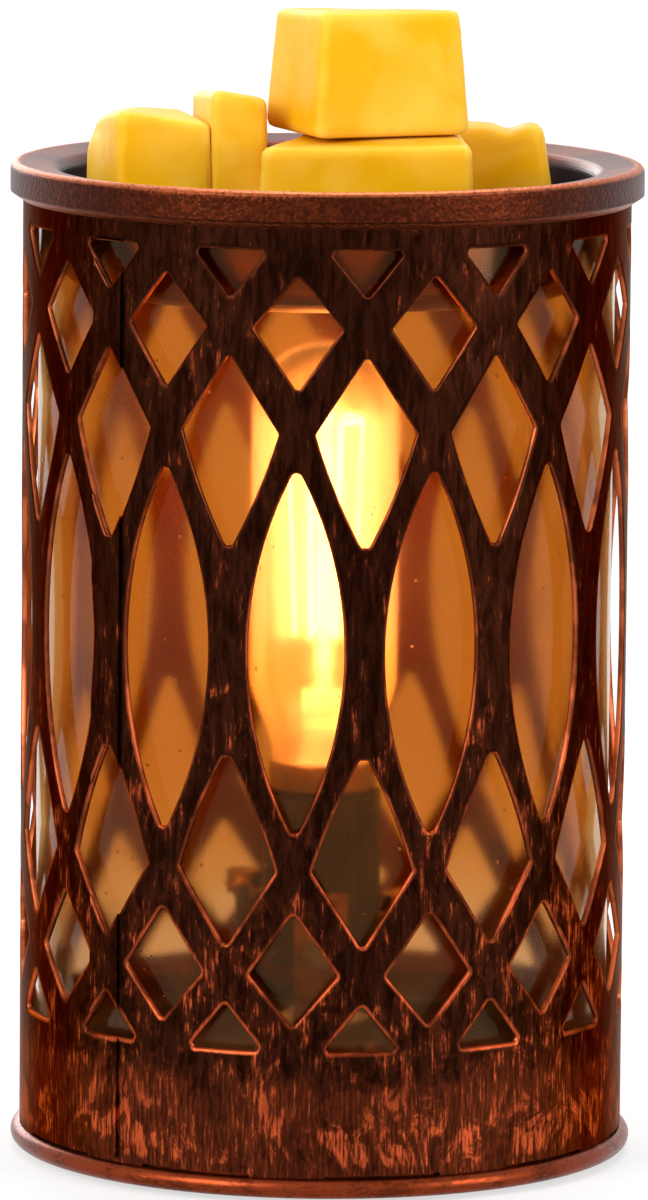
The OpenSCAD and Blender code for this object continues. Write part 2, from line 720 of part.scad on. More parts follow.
module centre_contact() {
    arm_w = 3.2;
    arm_x = 3;
    color("#d1a653") {
        difference() {
            lug(1, floor_z, 1);
            terminal_hole(1, floor_z);
        }
        translate([-arm_x, -arm_w / 2, floor_z]) cube([arm_x + 2, arm_w, lug_t]);
        translate([-arm_x, -arm_w / 2, floor_z]) cube([lug_t, arm_w, contact_rise]);
        translate([-arm_x, -arm_w / 2, contact_z - lug_t]) cube([arm_x + 2, arm_w, lug_t]);
    }
}

module terminal_screws() {
    for (p = [[-1, insulator_z1], [1, floor_z]])
        color("#d6b062") translate([p[0] * lug_place, 0, p[1] - 1.6]) difference() {
            union() {
                cylinder(r = m3_r, h = 2 * lug_t + 1.6 + over / 2);
                translate([0, 0, 2 * lug_t + 1.6]) cylinder(r = m3_head_r, h = m3_head_h);
            }
            translate([-m3_head_r, -0.35, 2 * lug_t + 1.6 + m3_head_h - 0.8]) cube([2 * m3_head_r, 0.7, over]);
        }
}

module ring_terminals() {
    for (p = [[-1, insulator_z1 + lug_t], [1, floor_z + lug_t]])
        color("#d58a4a") translate([p[0] * lug_place, 0, p[1]]) rotate([0, 0, p[0] < 0 ? 0 : 180])
        difference() {
            union() {
                cylinder(r = m3_head_r + 0.25, h = lug_t);
                translate([-1.1, -4.5, 0]) cube([2.2, 3, lug_t]);
                translate([0, -barrel_y0, lug_t / 2]) rotate([90, 0, 0]) cylinder(r = lead_r + 0.5, h = barrel_h);
            }
            translate([0, 0, -over]) cylinder(r = m3_r + hole_fit, h = lug_t + 2 * over);
            translate([0, -barrel_y0 - 1, lug_t / 2]) rotate([90, 0, 0]) cylinder(r = lead_r + hole_fit, h = barrel_h);
        }
}

// The crimp barrels start this far from the screw's axis and are this long
barrel_y0 = 3.6;
barrel_h = 4.5;

// Route of a lead from its crimp barrel to its splice, on the left; the right one is turned half round
function lead_points(top_z) =
    let (y0 = -barrel_y0 - 1.2, g = lug_place)
    [[-g, y0, top_z], [-g, y0 - 1.8, top_z], [-g, y0 - 3.6, top_z], [-g - 0.1, y0 - 5.4, top_z - 1.6],
     [-g + 0.1, y0 - 5.6, top_z - 5], [-g + 1.1, -9.6, holder_z0 + 3], [-g + 3, -8.6, holder_z0 - 1],
     [-7, -7, nipple_z1 + 4], [-4.8, -4.8, nipple_z1 + 3.2], [-3.2, -3, nipple_z1 + 2.2], [-1.7, -1.2, nipple_z1],
     [-1.6, -0.7, nipple_z1 - 3], [-1.6, -0.3, pan_under], [-1.6, 0, nipple_z0 + 1],
     [-1.8, 0.8, nipple_z0 - 1.5]];
function lead_tail(s, z) =
    [[s * 2.8, 3.4, (z + nipple_z0 - 3) / 2], [s * 4.2, 6.6, z + 0.3], [s * 5, 10, z], [s * 5, 13, z], [s * 5, 17, z]];

splice_z = cover_z1 + 3;

module neutral_lead() {
    color("#20242c") lead(path(concat(lead_points(insulator_z1 + 1.5 * lug_t), lead_tail(-1, splice_z)), 3), lead_r);
}

module live_lead() {
    turned = [for (q = lead_points(floor_z + 1.5 * lug_t)) [-q.x, -q.y, q.z]];
    color("#5a2a1c") lead(path(concat(turned, lead_tail(1, splice_z)), 3), lead_r);
}

module splice_caps() {
    for (s = [-1, 1])
        color("#d8d4cb") translate([s * 5, 12, splice_z]) rotate([-90, 0, 0]) difference() {
            union() {
                cylinder(r = 3, h = 13);
                translate([0, 0, 13]) sphere(r = 3);
            }
            translate([0, 0, -over]) cylinder(r = lead_r + hole_fit, h = 6 + over);
        }
}

module lamp_cap() {
    skirt_ri = cap_skirt_r - cap_t;
    core_r = thread_r - 0.3;
    bore_r = 5.2;
    color("#c9a24a") rotate_extrude() polygon([
        [cap_skirt_r, skirt_z1], [cap_skirt_r, skirt_z0], [thread_r, skirt_z0], [thread_r, thread_z0 + 1],
        [core_r - 0.8, thread_z0], [bore_r, thread_z0], [bore_r, thread_z0 + cap_t], [core_r - cap_t, thread_z0 + 1.6],
        [core_r - cap_t, skirt_z0 + cap_t], [skirt_ri, skirt_z0 + cap_t], [skirt_ri, skirt_z1]]);
}

module cap_insulator() {
    color("#101012") rotate_extrude() polygon([
        [1, thread_z0 - cap_insulator_h + 0.4], [2.6, thread_z0 - cap_insulator_h], [3.4, thread_z0 - cap_insulator_h],
        [5.2, thread_z0], [5.2, thread_z0 + cap_t], [1, thread_z0 + cap_t]]);
}

module contact_tip() {
    tip_r = 2.4;
    ball = (tip_r * tip_r + tip_h * tip_h) / (2 * tip_h);
    edge = asin(tip_r / ball);
    shank_z = thread_z0 - cap_insulator_h;
    color("#c8c8c6") rotate_extrude()
        polygon(concat(arc([0, tip_z0 + ball], ball, -90, edge - 90, 6), [[1, shank_z], [1, shank_z + 1.8], [0, shank_z + 1.8]]));
}

function bulb_side(off) =
    concat([[neck_r - off, neck_z0 + off]], [for (i = [0:10]) let (t = i / 10)
            [neck_r - off + (bulb_r - neck_r) * (1 - cos(180 * t)) / 2, taper_z0 + t * bulb_taper]],
           arc([0, bulb_top - bulb_r], bulb_r - off, 0, 90, 12));

module lamp_glass() {
    color([1, 0.93, 0.75, 0.3]) rotate_extrude() difference() {
        polygon(concat(bulb_side(0), [[0, neck_z0]]));
        polygon(concat(bulb_side(bulb_t), [[0, neck_z0 + bulb_t]]));
        translate([0, neck_z0 - over]) square([rod_r + 0.1, bulb_t + 2 * over]);
    }
}

module glass_stem() {
    flare_r = neck_r - bulb_t - 0.4;
    flare_z = neck_z0 + bulb_t + 0.2;
    color([0.9, 0.9, 0.85, 0.5]) {
        rotate_extrude() polygon([[flare_r - 1.2, flare_z], [flare_r, flare_z], [3.8, flare_z + 3], [3.2, press_z0 + 1],
                                  [2.2, press_z0 + 1], [2.8, flare_z + 3]]);
        translate([-3.4, -1.4, press_z0]) cube([6.8, 2.8, press_z1 - press_z0]);
        bar([0, 0, press_z1 - 1], [0, 0, cage_z1 + 2], rod_r);
        translate([0, 0, cage_z1 + 2]) sphere(r = rod_r + 0.5);
    }
}

// Place of strand i at the top or the foot of the filament cage
function strand_at(i, top) =
    let (a = 360 * (i + 0.5) / strands - 90, r = cage_r - (top ? 0 : cage_taper)) [r * cos(a), r * sin(a), top ? cage_z1 : cage_z0];

module leadin_wires() {
    lead_x = 2.2;
    color("#b98c56") for (s = [-1, 1])
        let (end = strand_at(s > 0 ? 0 : strands - 1, false), knee = [s * lead_x, 0, press_z1 + 4])
        lead(concat([[s * lead_x, 0, press_z1 + 0.1]],
                    path([knee, knee + (end - knee) * 0.3, end - [0, 0, 2.5], end - [0, 0, 0.05]], 3)),
             2 * wire_r, 6);
}

// The filament as one unbroken wire, up one strand and down the next, rounded where it turns
module filament() {
    turns = [for (i = [0:strands - 1]) for (top = i % 2 == 0 ? [false, true] : [true, false]) strand_at(i, top)];
    last = len(turns) - 1;
    wire = concat([turns[0]], [for (i = [1:last - 1]) each bent(turns[i - 1], turns[i], turns[i + 1], 0.8)],
                  [turns[last]]);
    color("#ffd37a") lead(wire, wire_r, 6);
}

// Points that round the corner at b, starting and ending a distance d from it
function bent(a, b, c, d) =
    let (p = b + unit(a - b) * d, q = b + unit(c - b) * d)
    [for (t = [0, 0.25, 0.5, 0.75, 1]) (1 - t) * (1 - t) * p + 2 * t * (1 - t) * b + t * t * q];

module filament_hooks() {
    color("#a8794a") for (i = [0:strands - 2]) {
        top = i % 2 == 0;
        link = (strand_at(i, top) + strand_at(i + 1, top)) / 2;
        drop = (top ? -1 : 1) * (wire_r + hook_r + hole_fit);
        out = unit([link.x, link.y, 0]);
        bar(out * rod_r + [0, 0, link.z + drop], [link.x, link.y, link.z + drop] + out * 0.6, hook_r);
    }
}

base_pan();
lattice_shell();
bottom_cover();
cover_posts();
cover_screws();
foot_pads();
cord_grommet();
liner_gasket();
glass_liner();
dish();
wax_left();
wax_right();
wax_front();
wax_tall();
wax_top();
lampholder_strap();
threaded_nipple();
nipple_nuts();
lock_washer();
lampholder_base();
lampholder_body();
strap_screw();
socket_shell();
contact_insulator();
centre_contact();
terminal_screws();
ring_terminals();
neutral_lead();
live_lead();
splice_caps();
lamp_cap();
cap_insulator();
contact_tip();
lamp_glass();
glass_stem();
leadin_wires();
filament();
filament_hooks();
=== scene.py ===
"""The looks of an electric wax warmer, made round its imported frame.

A sheet-metal tube cut as a lattice stands on a beaded pan. Inside it are an amber glass tube and a lit filament
lamp, and a spun dish on top holds five pieces of wax.
"""
import contextlib
import functools
import math
from collections import Counter

import bmesh
import bpy
from mathutils import Matrix, Vector, noise
from mathutils.geometry import delaunay_2d_cdt


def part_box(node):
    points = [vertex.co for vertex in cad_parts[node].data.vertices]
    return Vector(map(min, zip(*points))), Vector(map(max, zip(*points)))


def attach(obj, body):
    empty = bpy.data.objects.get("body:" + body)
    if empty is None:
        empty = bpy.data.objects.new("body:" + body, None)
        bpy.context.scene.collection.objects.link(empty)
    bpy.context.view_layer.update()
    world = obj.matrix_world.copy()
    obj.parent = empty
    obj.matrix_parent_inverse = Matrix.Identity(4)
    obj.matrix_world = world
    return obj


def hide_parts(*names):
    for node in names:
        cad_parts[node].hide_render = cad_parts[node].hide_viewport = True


bl_info = {
    "name": "Electric wax warmer",
    "version": (1, 0, 0),
    "blender": (4, 5, 0),
    "location": "3D View > Sidebar > Warmer",
    "description": "Makes the visible pieces of an electric wax warmer round its frame",
    "category": "Add Mesh",
}

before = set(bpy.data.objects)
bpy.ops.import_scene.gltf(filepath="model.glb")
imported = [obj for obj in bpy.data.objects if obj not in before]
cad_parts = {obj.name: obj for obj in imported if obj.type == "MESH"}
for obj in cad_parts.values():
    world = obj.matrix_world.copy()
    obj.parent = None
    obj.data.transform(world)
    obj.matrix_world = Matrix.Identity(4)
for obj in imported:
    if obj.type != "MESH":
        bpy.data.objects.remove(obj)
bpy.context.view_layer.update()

MM = 0.001

# Sheet-metal tube, in millimetres: radius, wall, and the levels of its foot, its seat and the lattice's middle
SHELL_R = 48.0
SHEET = 0.8
SHELL_FOOT = 4.4
SEAT = 151.7
LATTICE_MID = 86.05
LATTICE_HALF = 62.35
LATTICE_TURN = -5.2
# Mesh of the sheet: how far from each cut-out its second ring of points runs, the size of its faces, and how near
# two things are at one place
RING_REACH, SHEET_CELL, TOUCH = 0.85, 2.4, 1e-4
# How far from a cut-out the finish still reads the distance, and the attribute that holds it
EDGE_FAR, EDGE_NAME = 3.0, "edge_mm"
# Lap of the sheet: its two edges in degrees from the front, its rise, its levels and the depth of its own bevel
LAP_FROM, LAP_TO = -48.16, -41.0
LAP_RISE, LAP_EDGE = 0.5, 0.12
LAP_Z = (4.7, 148.4)
# Locating tabs of the tube: how many, width and first place in degrees, their lower level, and how far they run up
# into the sheet
TABS, TAB_TURN, TAB_FIRST, TAB_FOOT, TAB_ROOT = 10, 14.0, 12.0, 3.25, 0.05
# Cord inlet at the back: level, hole radius and half its flat
INLET_Z, INLET_R, INLET_FLAT = 9.5, 3.65, 0.8
# Glass tube: radii and levels
LINER_RI, LINER_RO, LINER_Z0, LINER_Z1 = 43.3, 45.5, 17.0, 149.9
# Lamp: levels and radii of the filament's cage, its strands, the radius of its wire and the reach of its bends
CAGE_Z0, CAGE_Z1, CAGE_R0, CAGE_R1, STRANDS = 82.4, 116.8, 5.0, 6.4, 8
FILAMENT_R, FILAMENT_BEND = 0.30, 0.8
# Lamp cap: levels of its end, its skirt's foot and its top, radii of thread and skirt, and the thread's pitch
CAP_Z0, SKIRT_Z0, SKIRT_Z1, THREAD_R, SKIRT_R, THREAD_PITCH = 44.9, 57.8, 62.4, 6.9, 8.5, 2.82
CAP_WALL = 0.3
# Leads: radius of the sleeve, levels of the nipple's ends, the pan's inside and the closed end
LEAD_R, NIPPLE_TOP, NIPPLE_FOOT, UNDER_PAN, SPLICE_Z = 1.1, 22.0, 11.0, 15.0, 5.4
# Wires: how many sides they have, and the steps between two points of a lead's path
LEAD_SIDES, FILAMENT_SIDES, PATH_STEPS = 14, 8, 5
# Stage, in metres: half the floor's side, the point that the lights face, and the camera's height. Its tilt down and
# its roll are in radians
FLOOR_HALF, LIT_POINT = 12.0, (0, 0, 0.09)
CAMERA_HEIGHT, CAMERA_TILT, CAMERA_ROLL = 0.300434, 0.141622, 0.0086918

WHITE = (1, 1, 1, 1)


# ---------------------------------------------------------------- settings

def number(name, description, default, low, high, **kind):
    return bpy.props.FloatProperty(name=name, description=description, default=default, min=low, max=high, **kind)


def length(name, description, default, low, high):
    return number(name, description, default, low, high, subtype="DISTANCE", unit="LENGTH", precision=5)


def share(name, description, default):
    return number(name, description, default, 0.0, 1.0, subtype="FACTOR")


def paint(name, description, default):
    return bpy.props.FloatVectorProperty(name=name, description=description, default=default, size=3, min=0.0,
                                         max=1.0, subtype="COLOR")


class WarmerMetal(bpy.types.PropertyGroup):
    """Sizes and colours of the sheet metal."""

    repeats: bpy.props.IntProperty(name="Repeats", description="Petals round the lattice", default=14, min=8,
                                   max=20)
    edge_round: length("Edge round", "Depth of the worn edge round each cut-out", 0.00018, 0.00005, 0.0003)
    dark: paint("Dark coat", "Colour of the dark coat", (0.026, 0.0062, 0.0028))
    copper: paint("Rubbed copper", "Colour of the copper rubbed over the coat", (0.36, 0.060, 0.018))
    # on the dish's rim this bright copper is partly a painted highlight
    bright: paint("Bright copper", "Colour of the worn edges", (0.52, 0.13, 0.045))
    wear: share("Wear", "How much copper shows through the coat", 0.5)


class WarmerWax(bpy.types.PropertyGroup):
    """Colours and surface of the wax."""

    face: paint("Wax", "Colour of the wax", (0.90, 0.47, 0.004))
    # on thin edges this pale colour is painted light; in cloudy patches it is the wax's own
    pale: paint("Pale wax", "Colour of thin edges and cloudy patches", (0.95, 0.62, 0.11))
    cell: length("Mesh size", "Size of the mesh on the wax", 0.0006, 0.0004, 0.002)
    unevenness: length("Unevenness", "Height of the surface's slow waves", 0.00014, 0.0, 0.0005)


class WarmerLight(bpy.types.PropertyGroup):
    """Colours and strengths of the glass and the lamp."""

    tint: paint("Glass tint", "Colour that light takes through one wall of the glass tube", (0.68, 0.345, 0.10))
    clear: paint("Paler tint", "Colour that light takes through the tube near its foot", (0.78, 0.62, 0.44))
    glow: paint("Glow", "Colour of the lamp's glow", (1.0, 0.50, 0.16))
    wire: paint("Wire", "Colour of the glowing wire", (1.0, 0.87, 0.88))
    wire_strength: number("Wire strength", "Brightness of the glowing wire", 360.0, 0.0, 1000.0)
    bulb_haze: share("Bulb haze", "Share of the lamp's light that its glass spreads", 0.28)
    bulb_strength: number("Bulb strength", "Brightness of the bulb's glass", 0.75, 0.0, 20.0)
    power: number("Lamp power", "Light that the lamp gives its surroundings", 0.50, 0.0, 5.0, unit="POWER")


class WarmerStage(bpy.types.PropertyGroup):
    """The floor, the studio lights and the camera."""

    floor: paint("Floor", "Colour of the floor", (0.86, 0.86, 0.86))
    sky: number("Surrounding light", "Strength of the even light all round", 0.55, 0.0, 2.0)
    soft_box: number("Soft box", "Power of the main soft light", 16.0, 0.0, 200.0, unit="POWER")
    distance: length("Camera distance", "Distance of the camera from the object's axis", 1.49167, 0.5, 5.0)
    lens: number("Lens", "Focal length on a 36 mm sensor", 284.80, 20.0, 500.0, subtype="DISTANCE_CAMERA")


# ---------------------------------------------------------------- finishes

def add_node(tree, kind, sockets=(), **settings):
    """A new node. Its inputs are linked to the sockets given, or set to the values given."""
    node = tree.nodes.new(kind)
    for key, value in settings.items():
        setattr(node, key, value)
    for key, value in dict(sockets).items():
        if isinstance(value, bpy.types.NodeSocket):
            tree.links.new(value, node.inputs[key])
        else:
            node.inputs[key].default_value = value
    return node


class Finish:
    """The nodes of a material or a world being made. Each method returns the socket that the next one takes."""

    def __init__(self, name, kind="Material"):
        self.kind = kind
        self.owner = getattr(bpy.data, f"{kind.lower()}s").new(name)
        self.owner.use_nodes = True
        self.tree = self.owner.node_tree
        self.tree.nodes.clear()

    def add(self, kind, sockets=(), **settings):
        return add_node(self.tree, kind, sockets, **settings)

    @functools.cached_property
    def place(self):
        """Object coordinates."""
        return self.add("ShaderNodeTexCoord").outputs["Object"]

    @functools.cached_property
    def height(self):
        """Height above the floor, in metres."""
        return self.add("ShaderNodeSeparateXYZ", {0: self.place}).outputs["Z"]

    @functools.cached_property
    def radius(self):
        """Distance from the object's axis, in metres."""
        return self.add("ShaderNodeVectorMath", {0: self.stretched(1, 1, 0)}, operation="LENGTH").outputs["Value"]

    @functools.cached_property
    def normal(self):
        return self.add("ShaderNodeNewGeometry").outputs["Normal"]

    @functools.cached_property
    def outward(self):
        """How far a surface faces away from the object's axis: 1 outwards, -1 inwards."""
        level = self.add("ShaderNodeVectorMath", {0: self.place, 1: (1, 1, 0)}, operation="MULTIPLY").outputs[0]
        away = self.add("ShaderNodeVectorMath", {0: level}, operation="NORMALIZE").outputs[0]
        return self.add("ShaderNodeVectorMath", {0: self.normal, 1: away}, operation="DOT_PRODUCT").outputs["Value"]

    def stretched(self, x, y, z):
        """Object coordinates, each axis scaled; a small number draws a pattern out along it."""
        return self.add("ShaderNodeMapping", {"Vector": self.place, "Scale": (x, y, z)}).outputs[0]

    def grain(self, size_mm, detail=3.0, place=None, roughness=0.55, distortion=0.0):
        """Cloudy noise with features of about this size."""
        return self.add("ShaderNodeTexNoise", {
            "Vector": place or self.place, "Scale": 1000.0 / size_mm / 1.6, "Detail": detail,
            "Roughness": roughness, "Distortion": distortion}).outputs[0]

    def pebbles(self, size_mm):
        """Distance from the nearest of many scattered points."""
        sockets = {"Vector": self.place, "Scale": 1000.0 / size_mm}
        return self.add("ShaderNodeTexVoronoi", sockets, feature="F1").outputs["Distance"]

    def step(self, value, low, high, to_low=0.0, to_high=1.0):
        """A smooth step of value from low to high."""
        return self.add("ShaderNodeMapRange", {"Value": value, "From Min": low, "From Max": high, "To Min": to_low,
                                               "To Max": to_high}, interpolation_type="SMOOTHSTEP").outputs[0]

    def calc(self, operation, *values):
        return self.add("ShaderNodeMath", dict(enumerate(values)), operation=operation).outputs[0]

    def mix(self, factor, a, b):
        """Colour a at factor 0, colour b at factor 1."""
        a, b = (c if isinstance(c, bpy.types.NodeSocket) else (*c[:3], 1.0) for c in (a, b))
        return self.add("ShaderNodeMix", {0: factor, 6: a, 7: b}, data_type="RGBA").outputs[2]

    def bump(self, height, depth_mm, strength=1.0, under=None):
        sockets = {"Height": height, "Distance": depth_mm * MM, "Strength": strength}
        if under is not None:
            sockets["Normal"] = under
        return self.add("ShaderNodeBump", sockets).outputs[0]

    def principled(self, colour, rough, relief=None, **sockets):
        """The main shader. Any other socket is given by its name, with _ for a space."""
        main = {"Base Color": colour, "Roughness": rough}
        if relief is not None:
            main["Normal"] = relief
        others = {key.replace("_", " "): value for key, value in sockets.items()}
        return self.add("ShaderNodeBsdfPrincipled", {**main, **others}).outputs[0]

    def blend(self, factor, a, b):
        """Shader a at factor 0, shader b at factor 1."""
        return self.add("ShaderNodeMixShader", {0: factor, 1: a, 2: b}).outputs[0]

    def glowing(self, shader, colour, strength):
        """The shader with a glow of its own."""
        glow = self.add("ShaderNodeEmission", {"Color": colour, "Strength": strength}).outputs[0]
        return self.add("ShaderNodeAddShader", {0: shader, 1: glow}).outputs[0]

    def clear_to_lamp(self, shader, colour):
        """The shader, except that light from a lamp passes straight through it in this colour."""
        shadow = self.add("ShaderNodeLightPath").outputs["Is Shadow Ray"]
        through = self.add("ShaderNodeBsdfTransparent", {"Color": (*colour, 1.0)}).outputs[0]
        return self.blend(shadow, shader, through)

    def looked_at(self):
        """1 where a camera, glossy or transmission ray arrives, else 0."""
        path = self.add("ShaderNodeLightPath").outputs
        looked = self.calc("MAXIMUM", path["Is Camera Ray"], path["Is Glossy Ray"])
        return self.calc("MAXIMUM", looked, path["Is Transmission Ray"])

    def done(self, shader):
        self.add(f"ShaderNodeOutput{self.kind}", {"Surface": shader})
        return self.owner


def shade(colour, factor):
    return tuple(min(1.0, c * factor) for c in colour)


def rubbed_sheet(metal):
    """Dark coat, rubbed through to red-brown in patches and to copper in short upright strokes, more so low down
    and in ragged blotches on the band under the cut-outs. The cut-outs' edges are worn to red copper and, at the
    sharp edge, bright. The inside of the tube is a painted glow of the lamp, a paler orange-brown than the coat, and
    duller. Heights are in metres."""
    f = Finish("rubbed_sheet")
    strokes = f.grain(0.28, 5.0, f.stretched(1, 1, 0.11), 0.65)
    streaks = f.grain(0.9, 5.0, f.stretched(1, 1, 0.22), 0.7, 0.5)
    cloud = f.grain(13.0, 3.0)
    patch = f.grain(3.4, 5.0, f.stretched(1, 1, 0.6), 0.68, 1.2)
    height, band_top = f.height, 0.0225
    low = f.step(height, 0.110, 0.015)
    band = f.step(height, band_top, 0.0150)
    # the red-brown under the coat
    worn_through = f.calc("MULTIPLY_ADD", low, 0.15, f.calc("MULTIPLY_ADD", band, 0.20, patch))
    worn_through = f.step(f.calc("MULTIPLY_ADD", streaks, 0.35, worn_through), 0.74, 1.05)
    coat = f.mix(f.step(streaks, 0.35, 0.66), shade(metal.dark, 0.35), shade(metal.dark, 1.2))
    brown = f.mix(f.step(strokes, 0.40, 0.66), f.mix(0.06, metal.dark, metal.copper),
                  f.mix(0.32, metal.dark, metal.copper))
    colour = f.mix(worn_through, coat, brown)
    # copper strokes, and on the band the ragged patches where the coat is worn away
    amount = f.calc("MULTIPLY_ADD", low, 0.045, f.calc("MULTIPLY", patch, 0.50))
    amount = f.calc("ADD", amount, metal.wear * 0.12 - 0.372)
    found = f.calc("ADD", f.calc("MULTIPLY", strokes, 0.60), f.calc("MULTIPLY", streaks, 0.40))
    rub = f.calc("MULTIPLY", f.step(f.calc("ADD", found, amount), 0.530, 0.680),
                 f.step(height, 0.130, 0.030, 0.35, 0.9))
    zone = f.calc("MULTIPLY", f.step(height, band_top, 0.0090), f.step(height, SHELL_FOOT * MM, 0.0062))
    blotch = f.calc("MULTIPLY_ADD", zone, 0.11, f.calc("MULTIPLY_ADD", cloud, 0.55, patch))
    blotch = f.calc("MULTIPLY", f.step(f.calc("MULTIPLY_ADD", streaks, 0.30, blotch), 1.030, 1.125), zone)
    rub = f.calc("MAXIMUM", rub, f.calc("MULTIPLY", blotch, f.step(strokes, 0.40, 0.53, 0.10, 1.0)))
    copper = f.mix(f.step(strokes, 0.35, 0.68), shade(metal.copper, 0.75), shade(metal.copper, 1.55))
    colour = f.mix(rub, colour, copper)
    # the cut-outs' edges: a band of red copper, and the sharp edge itself worn bright
    edge = f.add("ShaderNodeAttribute", attribute_name=EDGE_NAME, attribute_type="GEOMETRY").outputs["Fac"]
    spared = f.step(f.grain(6.0, 3.0), 0.42, 0.60, 0.25, 1.0)
    near = f.calc("ADD", f.calc("MULTIPLY_ADD", low, -0.30, edge), f.calc("MULTIPLY", streaks, 0.9))
    worn = f.calc("MULTIPLY", f.step(near, 0.86, 0.40), f.step(height, 0.150, 0.040, 0.45, 0.90))
    worn = f.calc("MULTIPLY", worn, spared)
    colour = f.mix(worn, colour, f.mix(f.step(strokes, 0.3, 0.7), shade(metal.copper, 0.75),
                                       shade(metal.copper, 1.5)))
    sharp = f.calc("MULTIPLY", f.step(edge, 0.14, 0.02), f.calc("MULTIPLY", spared, 0.8))
    colour = f.mix(sharp, colour, metal.bright)
    # the inside of the tube: painted lamp glow, an orange-brown much paler than the dark coat
    inner = f.step(f.outward, -0.3, -0.8)
    colour = f.mix(inner, colour, f.mix(cloud, (0.28, 0.135, 0.045), (0.42, 0.215, 0.075)))
    rough = f.calc("MULTIPLY_ADD", strokes, 0.34, 0.20)
    rough = f.calc("MAXIMUM", rough, f.calc("MULTIPLY", inner, 0.6))
    relief = f.bump(f.calc("MULTIPLY_ADD", streaks, 0.8, strokes), 0.05, 0.5)
    relief = f.bump(f.grain(0.3, 2.0), 0.010, 0.6, relief)
    # the tint keeps the coat dark where the tube turns away
    return f.done(f.principled(colour, rough, relief, Metallic=1.0, Specular_Tint=(0.60, 0.42, 0.34, 1.0)))


def rolled_metal(metal):
    """Smooth copper-brown of the pan's rolled bead, with dark rubs along it."""
    f = Finish("rolled_metal")
    cloud = f.grain(6.0, 5.0, None, 0.6, 0.4)
    fleck = f.grain(0.7, 4.0, f.stretched(1, 1, 2.5), 0.65)
    dark = f.step(f.calc("MULTIPLY_ADD", fleck, 0.5, f.calc("MULTIPLY", cloud, 0.6)), 0.50, 0.64)
    colour = f.mix(dark, shade(metal.copper, 0.62), f.mix(0.25, metal.dark, metal.copper))
    bead_top, inside_pan = 0.0036, 0.0060
    colour = f.mix(f.step(f.height, bead_top, inside_pan), colour, shade(metal.dark, 1.3))
    rough = f.calc("MULTIPLY_ADD", fleck, 0.25, 0.20)
    relief = f.bump(fleck, 0.02, 0.5, f.bump(f.grain(9.0, 2.0), 0.08, 0.4))
    return f.done(f.principled(colour, rough, relief, Metallic=1.0))


def dish_metal(metal):
    """Pebbled brown rim whose upper and lower edges are bright copper, partly rubbed copper and partly a painted
    highlight, a brown lip, a gunmetal bowl, and a warmer outside of the bowl.
    """
    f = Finish("dish_metal")
    radius, height = f.radius, f.height
    # where the finish changes: each zone sets in from its first number to its second, in metres
    bowl_side, lip_zone = (0.0475, 0.0468), (0.0416, 0.0428)
    rim_zone, pebbled_zone = (0.0480, 0.0488), (0.0483, 0.0490)
    top_level, top_reach = (0.15672, 0.15735), (0.0478, 0.0486)
    low_level, low_reach = (0.15310, 0.1524), (0.0475, 0.0480)
    upward = f.add("ShaderNodeSeparateXYZ", {0: f.normal}).outputs["Z"]
    outside = f.calc("MULTIPLY", f.step(f.calc("SUBTRACT", f.outward, upward), -0.1, 0.1),
                     f.step(radius, *bowl_side))
    pebble = f.step(f.pebbles(0.8), 0.1, 0.6)
    fleck = f.grain(0.45, 4.0, None, 0.65)
    cloud = f.grain(8.0, 4.0, None, 0.6)
    rub = f.step(f.calc("ADD", fleck, f.calc("MULTIPLY", cloud, 0.4)), 0.60, 0.92)
    brown = f.mix(0.16, metal.dark, metal.copper)
    wall = f.mix(rub, f.mix(0.05, metal.dark, metal.copper), f.mix(0.25, metal.dark, metal.copper))
    # the rim's upper and lower edges: bright copper that is partly rubbed copper and partly a painted highlight, the
    # lower one weaker
    top_edge = f.calc("MULTIPLY", f.step(height, *top_level), f.step(radius, *top_reach))
    low_edge = f.calc("MULTIPLY", f.step(height, *low_level), f.step(radius, *low_reach))
    edges = f.calc("MULTIPLY", f.calc("MAXIMUM", top_edge, f.calc("MULTIPLY", low_edge, 0.7)),
                   f.step(fleck, 0.34, 0.52, 0.45, 1.0))
    wall = f.mix(edges, wall, f.mix(cloud, shade(metal.bright, 0.75), shade(metal.bright, 1.15)))
    lip = f.mix(f.step(f.calc("ADD", cloud, f.calc("MULTIPLY", fleck, 0.5)), 0.62, 0.95), brown,
                f.mix(0.45, brown, metal.copper))
    bowl = f.mix(f.step(cloud, 0.35, 0.7), (0.045, 0.040, 0.037), (0.085, 0.070, 0.062))
    under = f.mix(f.step(cloud, 0.3, 0.7), (0.16, 0.055, 0.022), (0.30, 0.115, 0.050))
    colour = f.mix(f.step(radius, *lip_zone), bowl, lip)
    colour = f.mix(f.step(radius, *rim_zone), colour, wall)
    colour = f.mix(low_edge, colour, wall)
    colour = f.mix(outside, colour, under)
    on_wall = f.step(radius, *pebbled_zone)
    rough = f.calc("ADD", f.calc("MULTIPLY_ADD", fleck, 0.20, 0.25), f.calc("MULTIPLY", on_wall, 0.05))
    pebbled = f.calc("MULTIPLY", pebble, f.calc("MULTIPLY_ADD", on_wall, 0.85, 0.15))
    relief = f.bump(f.grain(0.3, 2.0), 0.010, 0.6, f.bump(pebbled, 0.06, 0.7))
    return f.done(f.principled(colour, rough, relief, Metallic=1.0))


def plain_metal(name, pale, dark, rough=0.3, brushed=(1, 1, 1)):
    """A bright metal with dull patches, fine scratches and a slight unevenness."""
    f = Finish(name)
    cloud = f.grain(3.0, 4.0)
    scratch = f.grain(0.25, 3.0, f.stretched(*brushed))
    colour = f.mix(f.step(cloud, 0.38, 0.66), dark, pale)
    gloss = f.calc("MULTIPLY_ADD", cloud, -0.16, f.calc("MULTIPLY_ADD", scratch, 0.16, rough))
    return f.done(f.principled(colour, gloss, f.bump(scratch, 0.012, 0.5), Metallic=1.0))


